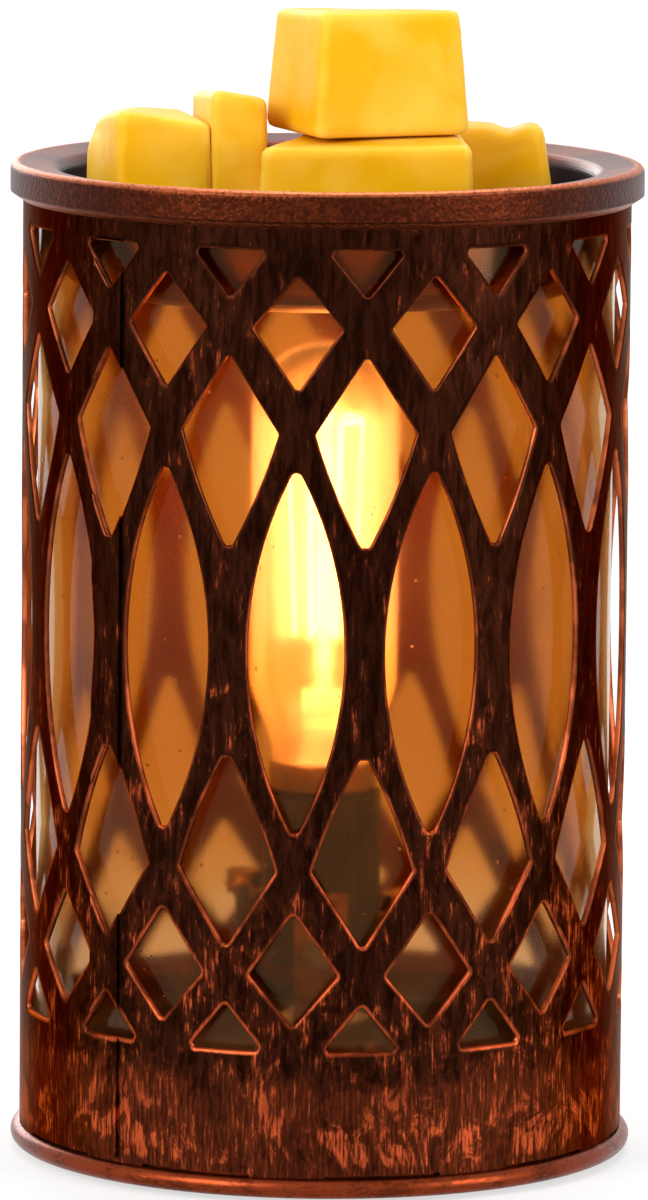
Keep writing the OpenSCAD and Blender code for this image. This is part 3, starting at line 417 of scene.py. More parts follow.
def moulded(name, pale, dark, rough=0.5, grain_mm=0.4, depth_mm=0.02):
    """Moulded plastic, rubber or clay: a fine grain, and patches where it is a little polished."""
    f = Finish(name)
    cloud, fine = f.grain(5.0, 3.0), f.grain(grain_mm, 3.0)
    patches = f.calc("MULTIPLY_ADD", fine, 0.4, f.calc("MULTIPLY", cloud, 0.6))
    colour = f.mix(f.step(patches, 0.35, 0.65), dark, pale)
    gloss = f.calc("MULTIPLY_ADD", cloud, 0.18, rough - 0.09)
    return f.done(f.principled(colour, gloss, f.bump(fine, depth_mm, 0.6)))


def wax_finish(wax):
    """Soft translucent wax: paler in slow clouds, and along its edges with painted light where light would shine
    through the thin wax, with a dull sheen and small dents.
    """
    f = Finish("poured_wax")
    cloud = f.grain(9.0, 3.0, None, 0.55, 0.6)
    fine = f.grain(1.6, 3.0)
    # pale wax along sharp edges: painted light, where light would shine through the thin wax
    painted_edge_light = f.step(f.add("ShaderNodeNewGeometry").outputs["Pointiness"], 0.505, 0.56)
    colour = f.mix(f.step(cloud, 0.35, 0.75), shade(wax.face, 0.94), f.mix(0.55, wax.face, wax.pale))
    colour = f.mix(f.calc("MULTIPLY", painted_edge_light, 0.75), colour, wax.pale)
    rough = f.calc("MULTIPLY_ADD", fine, 0.22, f.calc("MULTIPLY_ADD", cloud, 0.16, 0.22))
    relief = f.bump(f.grain(5.0, 2.0), 0.10, 0.5, f.bump(fine, 0.03, 0.45))
    return f.done(f.principled(
        colour, rough, relief, IOR=1.44, Subsurface_Weight=0.45, Subsurface_Radius=(1.0, 0.62, 0.10),
        Subsurface_Scale=0.0035, Specular_IOR_Level=0.28, Specular_Tint=(1.0, 0.66, 0.15, 1.0)))


def tube_glass(light):
    """Amber glass, paler low down and a little hazy, with a soft waviness, specks and faint smears."""
    f = Finish("amber_glass")
    specks = f.step(f.pebbles(4.5), 0.070, 0.025)
    wave = f.grain(16.0, 2.0, f.stretched(1, 1, 0.3))
    smear = f.step(f.grain(9.0, 5.0, f.stretched(1, 1, 0.45), 0.7, 1.0), 0.45, 0.75)
    relief = f.bump(specks, 0.10, 0.8, f.bump(wave, 0.20, 0.25))
    rough = f.calc("MULTIPLY_ADD", smear, 0.07, 0.115)
    tint = f.mix(f.step(wave, 0.3, 0.7), shade(light.tint, 0.97), shade(light.tint, 1.05))
    tint = f.mix(f.calc("MULTIPLY", smear, 0.15), tint, shade(light.tint, 0.7))
    cloud = f.calc("MULTIPLY_ADD", f.grain(14.0, 3.0), 0.03, f.height)
    tint = f.mix(f.step(cloud, 0.072, 0.030, 0.0, 0.8), tint, light.clear)
    glass = f.principled(tint, rough, relief, IOR=1.32, Transmission_Weight=1.0,
                         Specular_Tint=(1.0, 0.62, 0.30, 1.0))
    return f.done(f.clear_to_lamp(glass, shade(light.tint, 1.1)))


def bulb_glass(light):
    """Thin clear glass with a slight haze that spreads the filament's glare, and a glow of its own round it."""
    f = Finish("bulb_glass")
    wave = f.grain(6.0, 2.0, f.stretched(1, 1, 0.4))
    relief = f.bump(wave, 0.08, 0.4)
    gloss = f.add("ShaderNodeBsdfGlossy", {"Color": WHITE, "Roughness": 0.04, "Normal": relief}).outputs[0]
    clear = f.add("ShaderNodeBsdfTransparent", {"Color": (1.0, 0.94, 0.80, 1.0)}).outputs[0]
    haze = f.principled((1.0, 0.96, 0.88, 1.0), f.calc("MULTIPLY_ADD", wave, 0.2, 0.40), IOR=1.45,
                        Transmission_Weight=1.0)
    mirror = f.add("ShaderNodeFresnel", {"IOR": 1.25, "Normal": relief}).outputs[0]
    body = f.blend(mirror, f.blend(light.bulb_haze, clear, haze), gloss)
    height = f.height
    lit = f.calc("MULTIPLY", f.step(height, 0.058, 0.090, 0.30, 1.0), f.step(height, 0.130, 0.112))
    lit = f.calc("MULTIPLY", lit, f.step(wave, 0.2, 0.8, 0.8, 1.0))
    # round the filament the glow is nearly white
    hot = f.calc("MULTIPLY", f.step(height, 0.074, 0.090), f.step(height, 0.126, 0.112))
    strength = f.calc("MULTIPLY", lit, f.step(hot, 0.0, 1.0, light.bulb_strength, 0.85 * light.bulb_strength))
    shining = f.glowing(body, f.mix(hot, light.glow, (1.0, 0.55, 0.42)), strength)
    return f.done(f.clear_to_lamp(shining, (1.0, 0.95, 0.85)))


def stem_glass(light):
    """Clear solid glass of the lamp's stem, faintly milky, that catches the filament's light."""
    f = Finish("stem_glass")
    wave = f.grain(2.5, 2.0)
    colour = f.mix(f.step(wave, 0.35, 0.7), (0.98, 0.93, 0.84), (0.92, 0.80, 0.62))
    glass = f.principled(colour, f.calc("MULTIPLY_ADD", wave, 0.12, 0.03), f.bump(wave, 0.08, 0.4), IOR=1.5,
                         Transmission_Weight=1.0)
    lit = f.calc("MULTIPLY", f.step(wave, 0.35, 0.65, 0.5, 1.5),
                 f.step(f.height, 0.064, 0.084, 0.5 * light.bulb_strength, 7.0 * light.bulb_strength))
    return f.done(f.clear_to_lamp(f.glowing(glass, (1.0, 0.86, 0.86, 1.0), lit), (0.97, 0.92, 0.84)))


def glowing_wire(light):
    """The lit filament, a little brighter at mid height."""
    f = Finish("glowing_wire")
    hot = f.calc("MULTIPLY", f.step(f.height, 0.080, 0.092), f.step(f.height, 0.1185, 0.108))
    strength = f.calc("MULTIPLY", f.calc("MULTIPLY_ADD", hot, 0.6, 0.4),
                      f.step(f.grain(1.2, 2.0), 0.2, 0.8, 0.8 * light.wire_strength, light.wire_strength))
    colour = f.mix(hot, shade(light.wire, 0.9), light.wire)
    cold = (0.20, 0.12, 0.06, 1.0)
    return f.done(f.principled(cold, 0.5, Emission_Color=colour, Emission_Strength=strength))


# ---------------------------------------------------------------- meshes and node trees

def add_object(name, data):
    obj = bpy.data.objects.new(name, data)
    bpy.context.scene.collection.objects.link(obj)
    return obj


def soften(mesh, angle):
    """Smooth shading, with creases where faces meet at more than this many degrees."""
    mesh.shade_smooth()
    mesh.set_sharp_from_angle(angle=math.radians(angle))


@contextlib.contextmanager
def editing(mesh):
    """A mesh opened as a bmesh, and written back at the end."""
    form = bmesh.new()
    form.from_mesh(mesh)
    yield form
    form.to_mesh(mesh)
    form.free()


def turn_outwards(form):
    """Turns a closed shape's faces over where they point inwards."""
    if form.calc_volume(signed=True) < 0:
        bmesh.ops.reverse_faces(form, faces=form.faces)


def check_closed(mesh):
    """Stops the script where an edge of the mesh doesn't join exactly two faces."""
    faces = Counter(loop.edge_index for loop in mesh.loops)
    count = sum(faces[edge.index] != 2 for edge in mesh.edges)
    if count:
        raise RuntimeError(f"{mesh.name} has {count} open edges")


def plain_mesh(name, points_mm, edges, faces):
    mesh = bpy.data.meshes.new(name)
    mesh.from_pydata([Vector(p) * MM for p in points_mm], edges, faces)
    return mesh


def closed_mesh(name, points_mm, faces, crease=40.0):
    """A mesh of a closed shape, with its doubles merged and its faces turned outwards."""
    mesh = plain_mesh(name, points_mm, [], faces)
    with editing(mesh) as form:
        bmesh.ops.remove_doubles(form, verts=form.verts, dist=1e-7)
        bmesh.ops.recalc_face_normals(form, faces=form.faces)
        turn_outwards(form)
    check_closed(mesh)
    soften(mesh, crease)
    return mesh


def spun(profile, steps, bend):
    """Points and faces of a closed profile of (radius, height) turned round Z. bend(radius, height, angle) gives
    each point's own radius and height."""
    points, faces = [], []
    count = len(profile)
    for k in range(steps):
        angle = 2 * math.pi * k / steps
        for r, z in (bend(*p, angle) for p in profile):
            points.append((r * math.cos(angle), r * math.sin(angle), z))
    for k in range(steps):
        for i in range(count):
            j = (i + 1) % count
            a, b = k * count, (k + 1) % steps * count
            faces.append((a + i, b + i, b + j, a + j))
    return points, faces


def new_tree(name, **inputs):
    """A geometry node tree with these named inputs, each given as its kind, and the sockets that they arrive at."""
    tree = bpy.data.node_groups.new(name, "GeometryNodeTree")
    for label, kind in {"Geometry": "Geometry", **inputs}.items():
        tree.interface.new_socket(label, in_out="INPUT", socket_type=f"NodeSocket{kind}")
    tree.interface.new_socket("Geometry", in_out="OUTPUT", socket_type="NodeSocketGeometry")
    return tree, tree.nodes.new("NodeGroupInput").outputs


def chain(tree, *steps):
    """Adds geometry nodes, given as (kind, sockets), and links each one's first output to the next one's first
    input. The last one goes out of the tree."""
    last = None
    for kind, sockets in (*steps, ("NodeGroupOutput", {})):
        node = add_node(tree, kind, sockets)
        if last is not None:
            tree.links.new(last.outputs[0], node.inputs[0])
        last = node


def ring_tree():
    """Repeats its input round Z, welds the repeats where they meet, and gives them a finish."""
    tree, given = new_tree("repeat_round_axis", Count="Int", Weld="Float", Finish="Material")
    pitch = add_node(tree, "ShaderNodeMath", {0: 2 * math.pi, 1: given["Count"]}, operation="DIVIDE").outputs[0]
    index = add_node(tree, "GeometryNodeInputIndex").outputs[0]
    turn = add_node(tree, "ShaderNodeMath", {0: index, 1: pitch}, operation="MULTIPLY").outputs[0]
    about = add_node(tree, "ShaderNodeCombineXYZ", {"Z": turn}).outputs[0]
    rotation = add_node(tree, "FunctionNodeEulerToRotation", {0: about}).outputs[0]
    chain(tree,
          ("GeometryNodeMeshLine", {"Count": given["Count"], "Offset": (0, 0, 0)}),
          ("GeometryNodeInstanceOnPoints", {"Instance": given["Geometry"], "Rotation": rotation}),
          ("GeometryNodeRealizeInstances", {}),
          ("GeometryNodeMergeByDistance", {"Distance": given["Weld"]}),
          ("GeometryNodeSetMaterial", {"Material": given["Finish"]}))
    return tree


def wire_tree():
    """Draws a round wire along a chain of edges, closes its ends, and gives it a finish."""
    tree, given = new_tree("wire_along_path", Radius="Float", Sides="Int", Finish="Material")
    outline = add_node(tree, "GeometryNodeCurvePrimitiveCircle",
                       {"Radius": given["Radius"], "Resolution": given["Sides"]}).outputs[0]
    chain(tree,
          ("GeometryNodeMeshToCurve", {0: given["Geometry"]}),
          ("GeometryNodeCurveToMesh", {"Profile Curve": outline, "Fill Caps": True}),
          ("GeometryNodeRealizeInstances", {}),
          ("GeometryNodeSetMaterial", {"Material": given["Finish"]}))
    return tree


def through_nodes(obj, tree, **values):
    """Puts an object's mesh through a node tree, whose inputs are given by name, and keeps the plain result."""
    modifier = obj.modifiers.new("nodes", "NODES")
    modifier.node_group = tree
    for item in tree.interface.items_tree:
        if item.in_out == "INPUT" and item.name in values:
            modifier[item.identifier] = values[item.name]
    return bake_modifiers(obj)


def bake_modifiers(obj):
    """Replaces an object's mesh by what its modifiers make of it."""
    graph = bpy.context.evaluated_depsgraph_get()
    mesh = bpy.data.meshes.new_from_object(obj.evaluated_get(graph), depsgraph=graph)
    if not mesh.polygons:
        raise RuntimeError(f"{obj.name} came out empty")
    obj.modifiers.clear()
    obj.data = mesh
    mesh.name = obj.name
    return obj


def settle(obj, body, slot, *nodes, finish=None):
    """Gives a finished piece its finish and its body, and hides the frame nodes it stands for. Its slot is not used.
    """
    if finish is not None:
        obj.data.materials.clear()
        obj.data.materials.append(finish)
    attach(obj, body)
    if nodes:
        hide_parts(*nodes)


def dress(finish, *nodes):
    """Gives frame nodes a finish."""
    for name in nodes:
        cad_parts[name].data.materials[0] = finish


def frame_copy(name, node):
    """A new object with a welded copy of a frame node's mesh."""
    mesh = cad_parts[node].data.copy()
    with editing(mesh) as form:
        bmesh.ops.remove_doubles(form, verts=form.verts, dist=1e-6)
    mesh.name = name
    mesh.materials.clear()
    return add_object(name, mesh)


def wire(name, points_mm, radius_mm, sides, finish, tree):
    """A wire along points, as one piece."""
    mesh = plain_mesh(name, points_mm, [(i, i + 1) for i in range(len(points_mm) - 1)], [])
    obj = through_nodes(add_object(name, mesh), tree, Radius=radius_mm * MM, Sides=sides, Finish=finish)
    with editing(obj.data) as form:
        turn_outwards(form)
    soften(obj.data, 60)
    return obj


def eased_path(points, steps):
    """A smooth path through given points."""
    p = [Vector(q) for q in points]
    out = []
    for i in range(len(p) - 1):
        a, b, c, d = p[max(i - 1, 0)], p[i], p[i + 1], p[min(i + 2, len(p) - 1)]
        for k in range(steps):
            t = k / steps
            out.append(0.5 * (2 * b + (c - a) * t + (2 * a - 5 * b + 4 * c - d) * t * t
                              + (3 * b - a - 3 * c + d) * t ** 3))
    return out + [p[-1]]


# ---------------------------------------------------------------- the cut sheet

def unit(v):
    return v / v.length


def rounded(a, p, b, radius):
    """Points that round the corner at p between the sides to a and b."""
    steps = 3
    u, w = unit(a - p), unit(b - p)
    half = math.acos(max(-1.0, min(1.0, u.dot(w)))) / 2
    c = p + unit(u + w) * radius / math.sin(half)
    p1, p2 = p + u * radius / math.tan(half), p + w * radius / math.tan(half)
    return [c + radius * unit(p1 + (p2 - p1) * i / steps - c) for i in range(steps + 1)]


def bowed(a, b, rise):
    """Points between a and b on a shallow bow."""
    steps, d = 7, unit(b - a)
    return [a + (b - a) * t + 4 * rise * t * (1 - t) * Vector((-d.y, d.x))
            for t in (i / steps for i in range(1, steps))]


def part_arc(centre, radius, start, stop, steps):
    """Points on an arc, without its last one."""
    turns = (start + (stop - start) * i / steps for i in range(steps))
    return [Vector(centre) + radius * Vector((math.cos(a), math.sin(a))) for a in turns]


def petal(w, h, tip):
    """A petal of half width w and half height h: two large arcs joined by small ones."""
    big = (w * w - tip * tip + (h - tip) ** 2) / (2 * (w - tip))
    c, top = big - w, h - tip
    f, half_turn = math.atan(top / c), math.pi
    return (part_arc((-c, 0), big, -f, f, 22) + part_arc((0, top), tip, f, half_turn - f, 6)
            + part_arc((c, 0), big, half_turn - f, half_turn + f, 22)
            + part_arc((0, -top), tip, half_turn + f, 2 * half_turn - f, 6))


def four_corners(w, z_in, z_wide, z_out):
    return [Vector(v) for v in ((0, z_in), (w, z_wide), (0, z_out), (-w, z_wide))]


def kite(w, z_in, z_wide, z_out, tip, corner, bow):
    """A kite with its tip at z_in, whose two long sides are a little bowed."""
    a, b, c, d = four_corners(w, z_in, z_wide, z_out)
    fa = rounded(d, a, b, tip)
    fb, fc, fd = rounded(a, b, c, corner), rounded(b, c, d, corner), rounded(c, d, a, corner)
    return fa + bowed(fa[-1], fb[0], -bow) + fb + fc + fd + bowed(fd[-1], fa[0], -bow)


def diamond(w, z_in, z_wide, z_out, corner):
    """A diamond, or a triangle where z_wide is z_out."""
    corners, out = four_corners(w, z_in, z_wide, z_out), []
    if z_wide == z_out:
        corners.pop(2)
    for i, p in enumerate(corners):
        out += rounded(corners[i - 1], p, corners[(i + 1) % len(corners)], corner)
    return out


def divided(outline, longest):
    """The outline with its long sides divided."""
    out = []
    for i, a in enumerate(outline):
        b = outline[(i + 1) % len(outline)]
        n = max(1, math.ceil((b - a).length / longest))
        out += [a + (b - a) * k / n for k in range(n)]
    return out


def cut_outs(arc):
    """Outlines of the cut-outs by column, as points across and up from the lattice's middle. Those in the first
    column are centred on the bay, those in the second on its two sides. Widths are those of 14 bays, where one is
    21.54 mm wide, and grow and shrink with the bay; levels are shares of the lattice's half height."""
    h = LATTICE_HALF
    k = arc / 21.54
    first, second = [petal(7.57 * k, 0.450 * h, 0.9)], []
    for s in (-1, 1):
        first.append(diamond(6.97 * k, s * 0.648 * h, s * 0.807 * h, s * 0.938 * h, 0.6))
        second.append(kite(7.92 * k, s * 0.238 * h, s * 0.545 * h, s * 0.742 * h, 0.9, 0.6, 0.45 * s))
        second.append(diamond(6.12 * k, s * 0.880 * h, s * h, s * h, 0.6))
    wrapped = []
    for column in (first, second):
        wrapped.append([])
        for outline in column:
            area = sum(p.cross(q) for p, q in zip(outline, outline[1:] + outline[:1]))
            turned = outline if area > 0 else outline[::-1]
            # a cut straight through the rolled sheet is a little longer round it than across it
            wrapped[-1].append(divided([Vector((SHELL_R * math.asin(p.x / SHELL_R), p.y)) for p in turned], 2.0))
    return wrapped


def grown(outline, by):
    """The outline moved out into the metal round it."""
    out = []
    for i, p in enumerate(outline):
        a, b = p - outline[i - 1], outline[(i + 1) % len(outline)] - p
        na, nb = unit(Vector((a.y, -a.x))), unit(Vector((b.y, -b.x)))
        m = unit(na + nb)
        out.append(p + m * by / max(0.5, m.dot(na)))
    return out


def clipped(outline, x0, x1):
    """The part of an outline between x0 and x1."""
    for side, limit in ((1, x0), (-1, x1)):
        kept = []
        for i, p in enumerate(outline):
            q = outline[(i + 1) % len(outline)]
            p_in, q_in = side * (p.x - limit) > 0, side * (q.x - limit) > 0
            if p_in:
                kept.append(p)
            if p_in != q_in:
                kept.append(Vector((limit, p.y + (q.y - p.y) * (limit - p.x) / (q.x - p.x))))
        outline = kept
    return outline


def inside(outline, p):
    """Whether p is inside the outline."""
    hit = False
    for i, a in enumerate(outline):
        b = outline[i - 1]
        if (a.y > p.y) != (b.y > p.y) and p.x < (b.x - a.x) * (p.y - a.y) / (b.y - a.y) + a.x:
            hit = not hit
    return hit


def distance_to(outline, p):
    """Distance from p to the nearest point of the outline."""
    best = 1e9
    for i, a in enumerate(outline):
        b = outline[i - 1]
        d = b - a
        t = max(0.0, min(1.0, (p - a).dot(d) / max(d.dot(d), 1e-12)))
        best = min(best, (a + d * t - p).length)
    return best


def sheet_side(x0, x1, z0, z1, holes, rings, cell, border, sides_closed):
    """Triangles of one side of the sheet. rings gives how far two more loops stand off each cut-out, in the metal.
    Returns the points, the triangles and each hole's point numbers."""
    points, edges, loops = [], [], []
    # points on the two upright sides are kept where the sheet goes on past them
    margin, end_margin, border_clear = (0.2 if sides_closed else -0.01), 0.3, 0.25

    def add_loop(outline, keep):
        first, size = len(points), len(outline)
        points.extend(outline)
        edges.extend((first + i, first + (i + 1) % size) for i in range(size))
        if keep:
            loops.append(list(range(first, first + size)))

    parts = [part for part in (clipped(h, x0, x1) for h in holes) if len(part) > 2]
    for part in parts:
        add_loop(part, True)
    if rings:
        for h in holes:
            ring = clipped(grown(h, rings[0]), x0, x1)
            if sides_closed:
                points.extend(p for p in ring if x0 + margin < p.x < x1 - margin)
            elif len(ring) > 2:
                add_loop(ring, False)
            points.extend(p for p in clipped(grown(h, rings[1]), x0, x1)
                          if z0 + end_margin < p.y < z1 - end_margin and x0 + margin < p.x < x1 - margin
                          and min(distance_to(o, p) for o in holes) > rings[1] * 0.93)

    def add_clear(p, clear):
        if not any(inside(o, p) or distance_to(o, p) < clear for o in holes):
            points.append(p)

    for p in border:
        add_clear(p, border_clear)
    cell_clear = 0.75 * cell + (rings[1] if rings else 0.0)
    rows, columns = max(1, round((z1 - z0) / cell)), max(1, round((x1 - x0) / cell))
    for j in range(1, rows):
        for i in range(1, columns):
            # every second row is moved along by a quarter
            across = (i + 0.25 * (j % 2)) / (columns + 0.25)
            add_clear(Vector((x0 + (x1 - x0) * across, z0 + (z1 - z0) * j / rows)), cell_clear)
    out, _, triangles, came_from, _, _ = delaunay_2d_cdt(points, edges, [], 0, 1e-5, True)
    renamed = {i: j for j, names in enumerate(came_from) for i in names}
    kept = []
    for t in triangles:
        middle = sum((out[v] for v in t), Vector((0, 0))) / 3
        if not any(inside(o, middle) for o in parts):
            kept.append(t)
    return out, kept, [[renamed[i] for i in loop] for loop in loops]


def keep_edge(mesh, distances):
    mesh.attributes.new(EDGE_NAME, "FLOAT", "POINT").data.foreach_set("value", distances)


def cut_sheet(name, x0, x1, z0, z1, holes, r_out, r_in, worn, sides_closed):
    """A piece of rolled sheet with cut-outs, unrolled from x0 to x1 round its outside and from z0 to z1. Each
    point's distance from the nearest cut-out is kept for the finish."""
    cell = SHEET_CELL
    rows, columns = round((z1 - z0) / cell), max(2, round((x1 - x0) / cell))
    border = [Vector((x, z0 + (z1 - z0) * j / rows)) for j in range(rows + 1) for x in (x0, x1)]
    border += [Vector((x0 + (x1 - x0) * i / columns, z)) for i in range(1, columns) for z in (z0, z1)]
    front, front_faces, front_loops = sheet_side(x0, x1, z0, z1, holes, (worn, RING_REACH), cell, border,
                                                 sides_closed)
    back, back_faces, back_loops = sheet_side(x0, x1, z0, z1, holes, None, 2 * cell, border, sides_closed)
    cut = {v for loop in front_loops for v in loop}
    verts, worn_edge = [], []

    def roll(p, r):
        verts.append((r * math.sin(p.x / SHELL_R), -r * math.cos(p.x / SHELL_R), p.y))
        worn_edge.append(min(EDGE_FAR, min(distance_to(h, p) for h in holes)))

    for i, p in enumerate(front):
        roll(p, r_out - (worn if i in cut else 0.0))
    for p in back:
        roll(p, r_in)
    shift = len(front)
    faces = [tuple(t) for t in front_faces] + [tuple(shift + v for v in reversed(t)) for t in back_faces]
    for a, b in zip(front_loops, back_loops):
        for i in range(len(a)):
            j = (i + 1) % len(a)
            p, q = front[a[i]], front[a[j]]
            # no wall where the next bay goes on
            if abs(p.x - q.x) < TOUCH and min(abs(p.x - x0), abs(p.x - x1)) < TOUCH:
                continue
            faces.append((a[i], a[j], shift + b[j], shift + b[i]))

    def edge_walls(along, across, level, forward):
        """Walls along one straight border of the sheet, where it isn't cut away."""
        def row(points):
            found = [i for i, p in enumerate(points) if abs(p[across] - level) < TOUCH]
            return sorted(found, key=lambda i: points[i][along])
        outer, inner = row(front), row(back)
        if len(outer) != len(inner):
            raise RuntimeError(f"{name}: the two sides of the sheet don't match at {level}")
        for k in range(len(outer) - 1):
            middle = (front[outer[k]] + front[outer[k + 1]]) / 2
            if any(inside(clipped(h, x0 - 1, x1 + 1), middle) for h in holes):
                continue
            quad = (outer[k], outer[k + 1], shift + inner[k + 1], shift + inner[k])
            faces.append(quad if forward else quad[::-1])

    edge_walls(0, 1, z0, False)
    edge_walls(0, 1, z1, True)
    if sides_closed:
        edge_walls(1, 0, x0, True)
        edge_walls(1, 0, x1, False)
    mesh = plain_mesh(name, verts, [], faces)
    keep_edge(mesh, worn_edge)
    return mesh


def oval_prism(name, radius, flat, z, y0, y1):
    """An oval bar along Y."""
    steps, outline = 12, []
    for side, start in ((1, -math.pi / 2), (-1, math.pi / 2)):
        for a in (start + math.pi * k / steps for k in range(steps + 1)):
            outline.append((side * flat + radius * math.cos(a), z + radius * math.sin(a)))
    count = len(outline)
    points = [(x, y, up) for y in (y0, y1) for x, up in outline]
    faces = [tuple(range(count)), tuple(range(2 * count - 1, count - 1, -1))]
    faces += [(i, (i + 1) % count, count + (i + 1) % count, count + i) for i in range(count)]
    return add_object(name, closed_mesh(name, points, faces))


# ---------------------------------------------------------------- operators

class WARMER_OT_lattice(bpy.types.Operator):
    """Makes the lattice tube with its lap and its locating tabs."""

    bl_idname = "warmer.lattice"
    bl_label = "Make the lattice tube"

    def execute(self, context):
        metal = context.scene.warmer_metal
        finish, ring, crease = rubbed_sheet(metal), ring_tree(), 50
        arc = 2 * math.pi * SHELL_R / metal.repeats
        half, turn = arc / 2, math.radians(LATTICE_TURN)
        first, second = cut_outs(arc)
        worn = metal.edge_round / MM
        holes = [[Vector((p.x, p.y + LATTICE_MID)) for p in h] for h in first]
        holes += [[Vector((p.x + s * half, p.y + LATTICE_MID)) for p in h] for h in second for s in (-1, 1)]
        bay = cut_sheet("lattice_tube", -half, half, SHELL_FOOT, SEAT, holes, SHELL_R, SHELL_R - SHEET, worn, False)
        bay.transform(Matrix.Rotation(turn, 4, "Z"))
        tube = through_nodes(add_object("lattice_tube", bay), ring, Count=metal.repeats, Weld=0.02 * MM,
                             Finish=finish)
        check_closed(tube.data)
        cutter = oval_prism("inlet_cutter", INLET_R, INLET_FLAT, INLET_Z, SHELL_R - 4, SHELL_R + 2)
        cut = tube.modifiers.new("inlet", "BOOLEAN")
        cut.object, cut.operation, cut.solver = cutter, "DIFFERENCE", "EXACT"
        bake_modifiers(tube)
        bpy.data.objects.remove(cutter)
        soften(tube.data, crease)
        settle(tube, "base", "lattice", "lattice_shell")

        # the lap is cut by the holes of the bays that it reaches
        x0, x1 = (SHELL_R * math.radians(a) for a in (LAP_FROM, LAP_TO))
        around = []
        for k in range(-3, 0):
            for column, offset in ((first, 0.0), (second, -half)):
                centre = SHELL_R * turn + k * arc + offset
                around += [[Vector((p.x + centre, p.y + LATTICE_MID)) for p in h] for h in column]
        near = [h for h in around if min(p.x for p in h) < x1 and max(p.x for p in h) > x0]
        lap = add_object("lattice_lap", cut_sheet("lattice_lap", x0, x1, *LAP_Z, near, SHELL_R + LAP_RISE,
                                                  SHELL_R - 0.02, LAP_EDGE, True))
        soften(lap.data, crease)
        settle(lap, "base", "lattice", finish=finish)

        steps = 6
        turns = [math.radians(TAB_FIRST + TAB_TURN * (k / steps - 0.5)) for k in range(steps + 1)]
        corners = [(r, z) for r in (SHELL_R - SHEET, SHELL_R) for z in (TAB_FOOT, SHELL_FOOT + TAB_ROOT)]
        points = [(r * math.cos(a), r * math.sin(a), z) for r, z in corners for a in turns]
        n = len(turns)
        faces = [(a * n + k, a * n + k + 1, b * n + k + 1, b * n + k)
                 for a, b in ((0, 1), (2, 3), (0, 2), (1, 3)) for k in range(steps)]
        faces += [(k, n + k, 3 * n + k, 2 * n + k) for k in (0, steps)]
        tab = closed_mesh("lattice_tabs", points, faces)
        keep_edge(tab, [EDGE_FAR] * len(tab.vertices))
        tabs = through_nodes(add_object("lattice_tabs", tab), ring, Count=TABS, Weld=0.0, Finish=finish)
        soften(tabs.data, crease)
        settle(tabs, "base", "lattice")
        return {"FINISHED"}


class WARMER_OT_pan(bpy.types.Operator):
    """Finishes the beaded pan, its underside and the cord inlet."""

    bl_idname = "warmer.pan"
    bl_label = "Finish the pan"

    def execute(self, context):
        metal = context.scene.warmer_metal
        dress(rolled_metal(metal), "base_pan")
        dress(plain_metal("cover_coat", (0.050, 0.036, 0.030), (0.022, 0.017, 0.015), 0.42), "bottom_cover")
        dress(plain_metal("zinc", (0.66, 0.65, 0.62), (0.42, 0.41, 0.40), 0.30, (1, 1, 6)),
              "cover_posts", "cover_screws", "threaded_nipple", "lock_washer", "strap_screw")
        dress(moulded("pad_rubber", (0.030, 0.030, 0.031), (0.012, 0.012, 0.012), 0.75, 0.3), "foot_pads")
        dress(moulded("grommet_rubber", (0.022, 0.021, 0.021), (0.009, 0.009, 0.009), 0.5, 0.5, 0.012),
              "cord_grommet")
        return {"FINISHED"}


class WARMER_OT_dish(bpy.types.Operator):
    """Finishes the lift-off dish."""

    bl_idname = "warmer.dish"
    bl_label = "Finish the dish"

    def execute(self, context):
        dress(dish_metal(context.scene.warmer_metal), "dish")
        return {"FINISHED"}


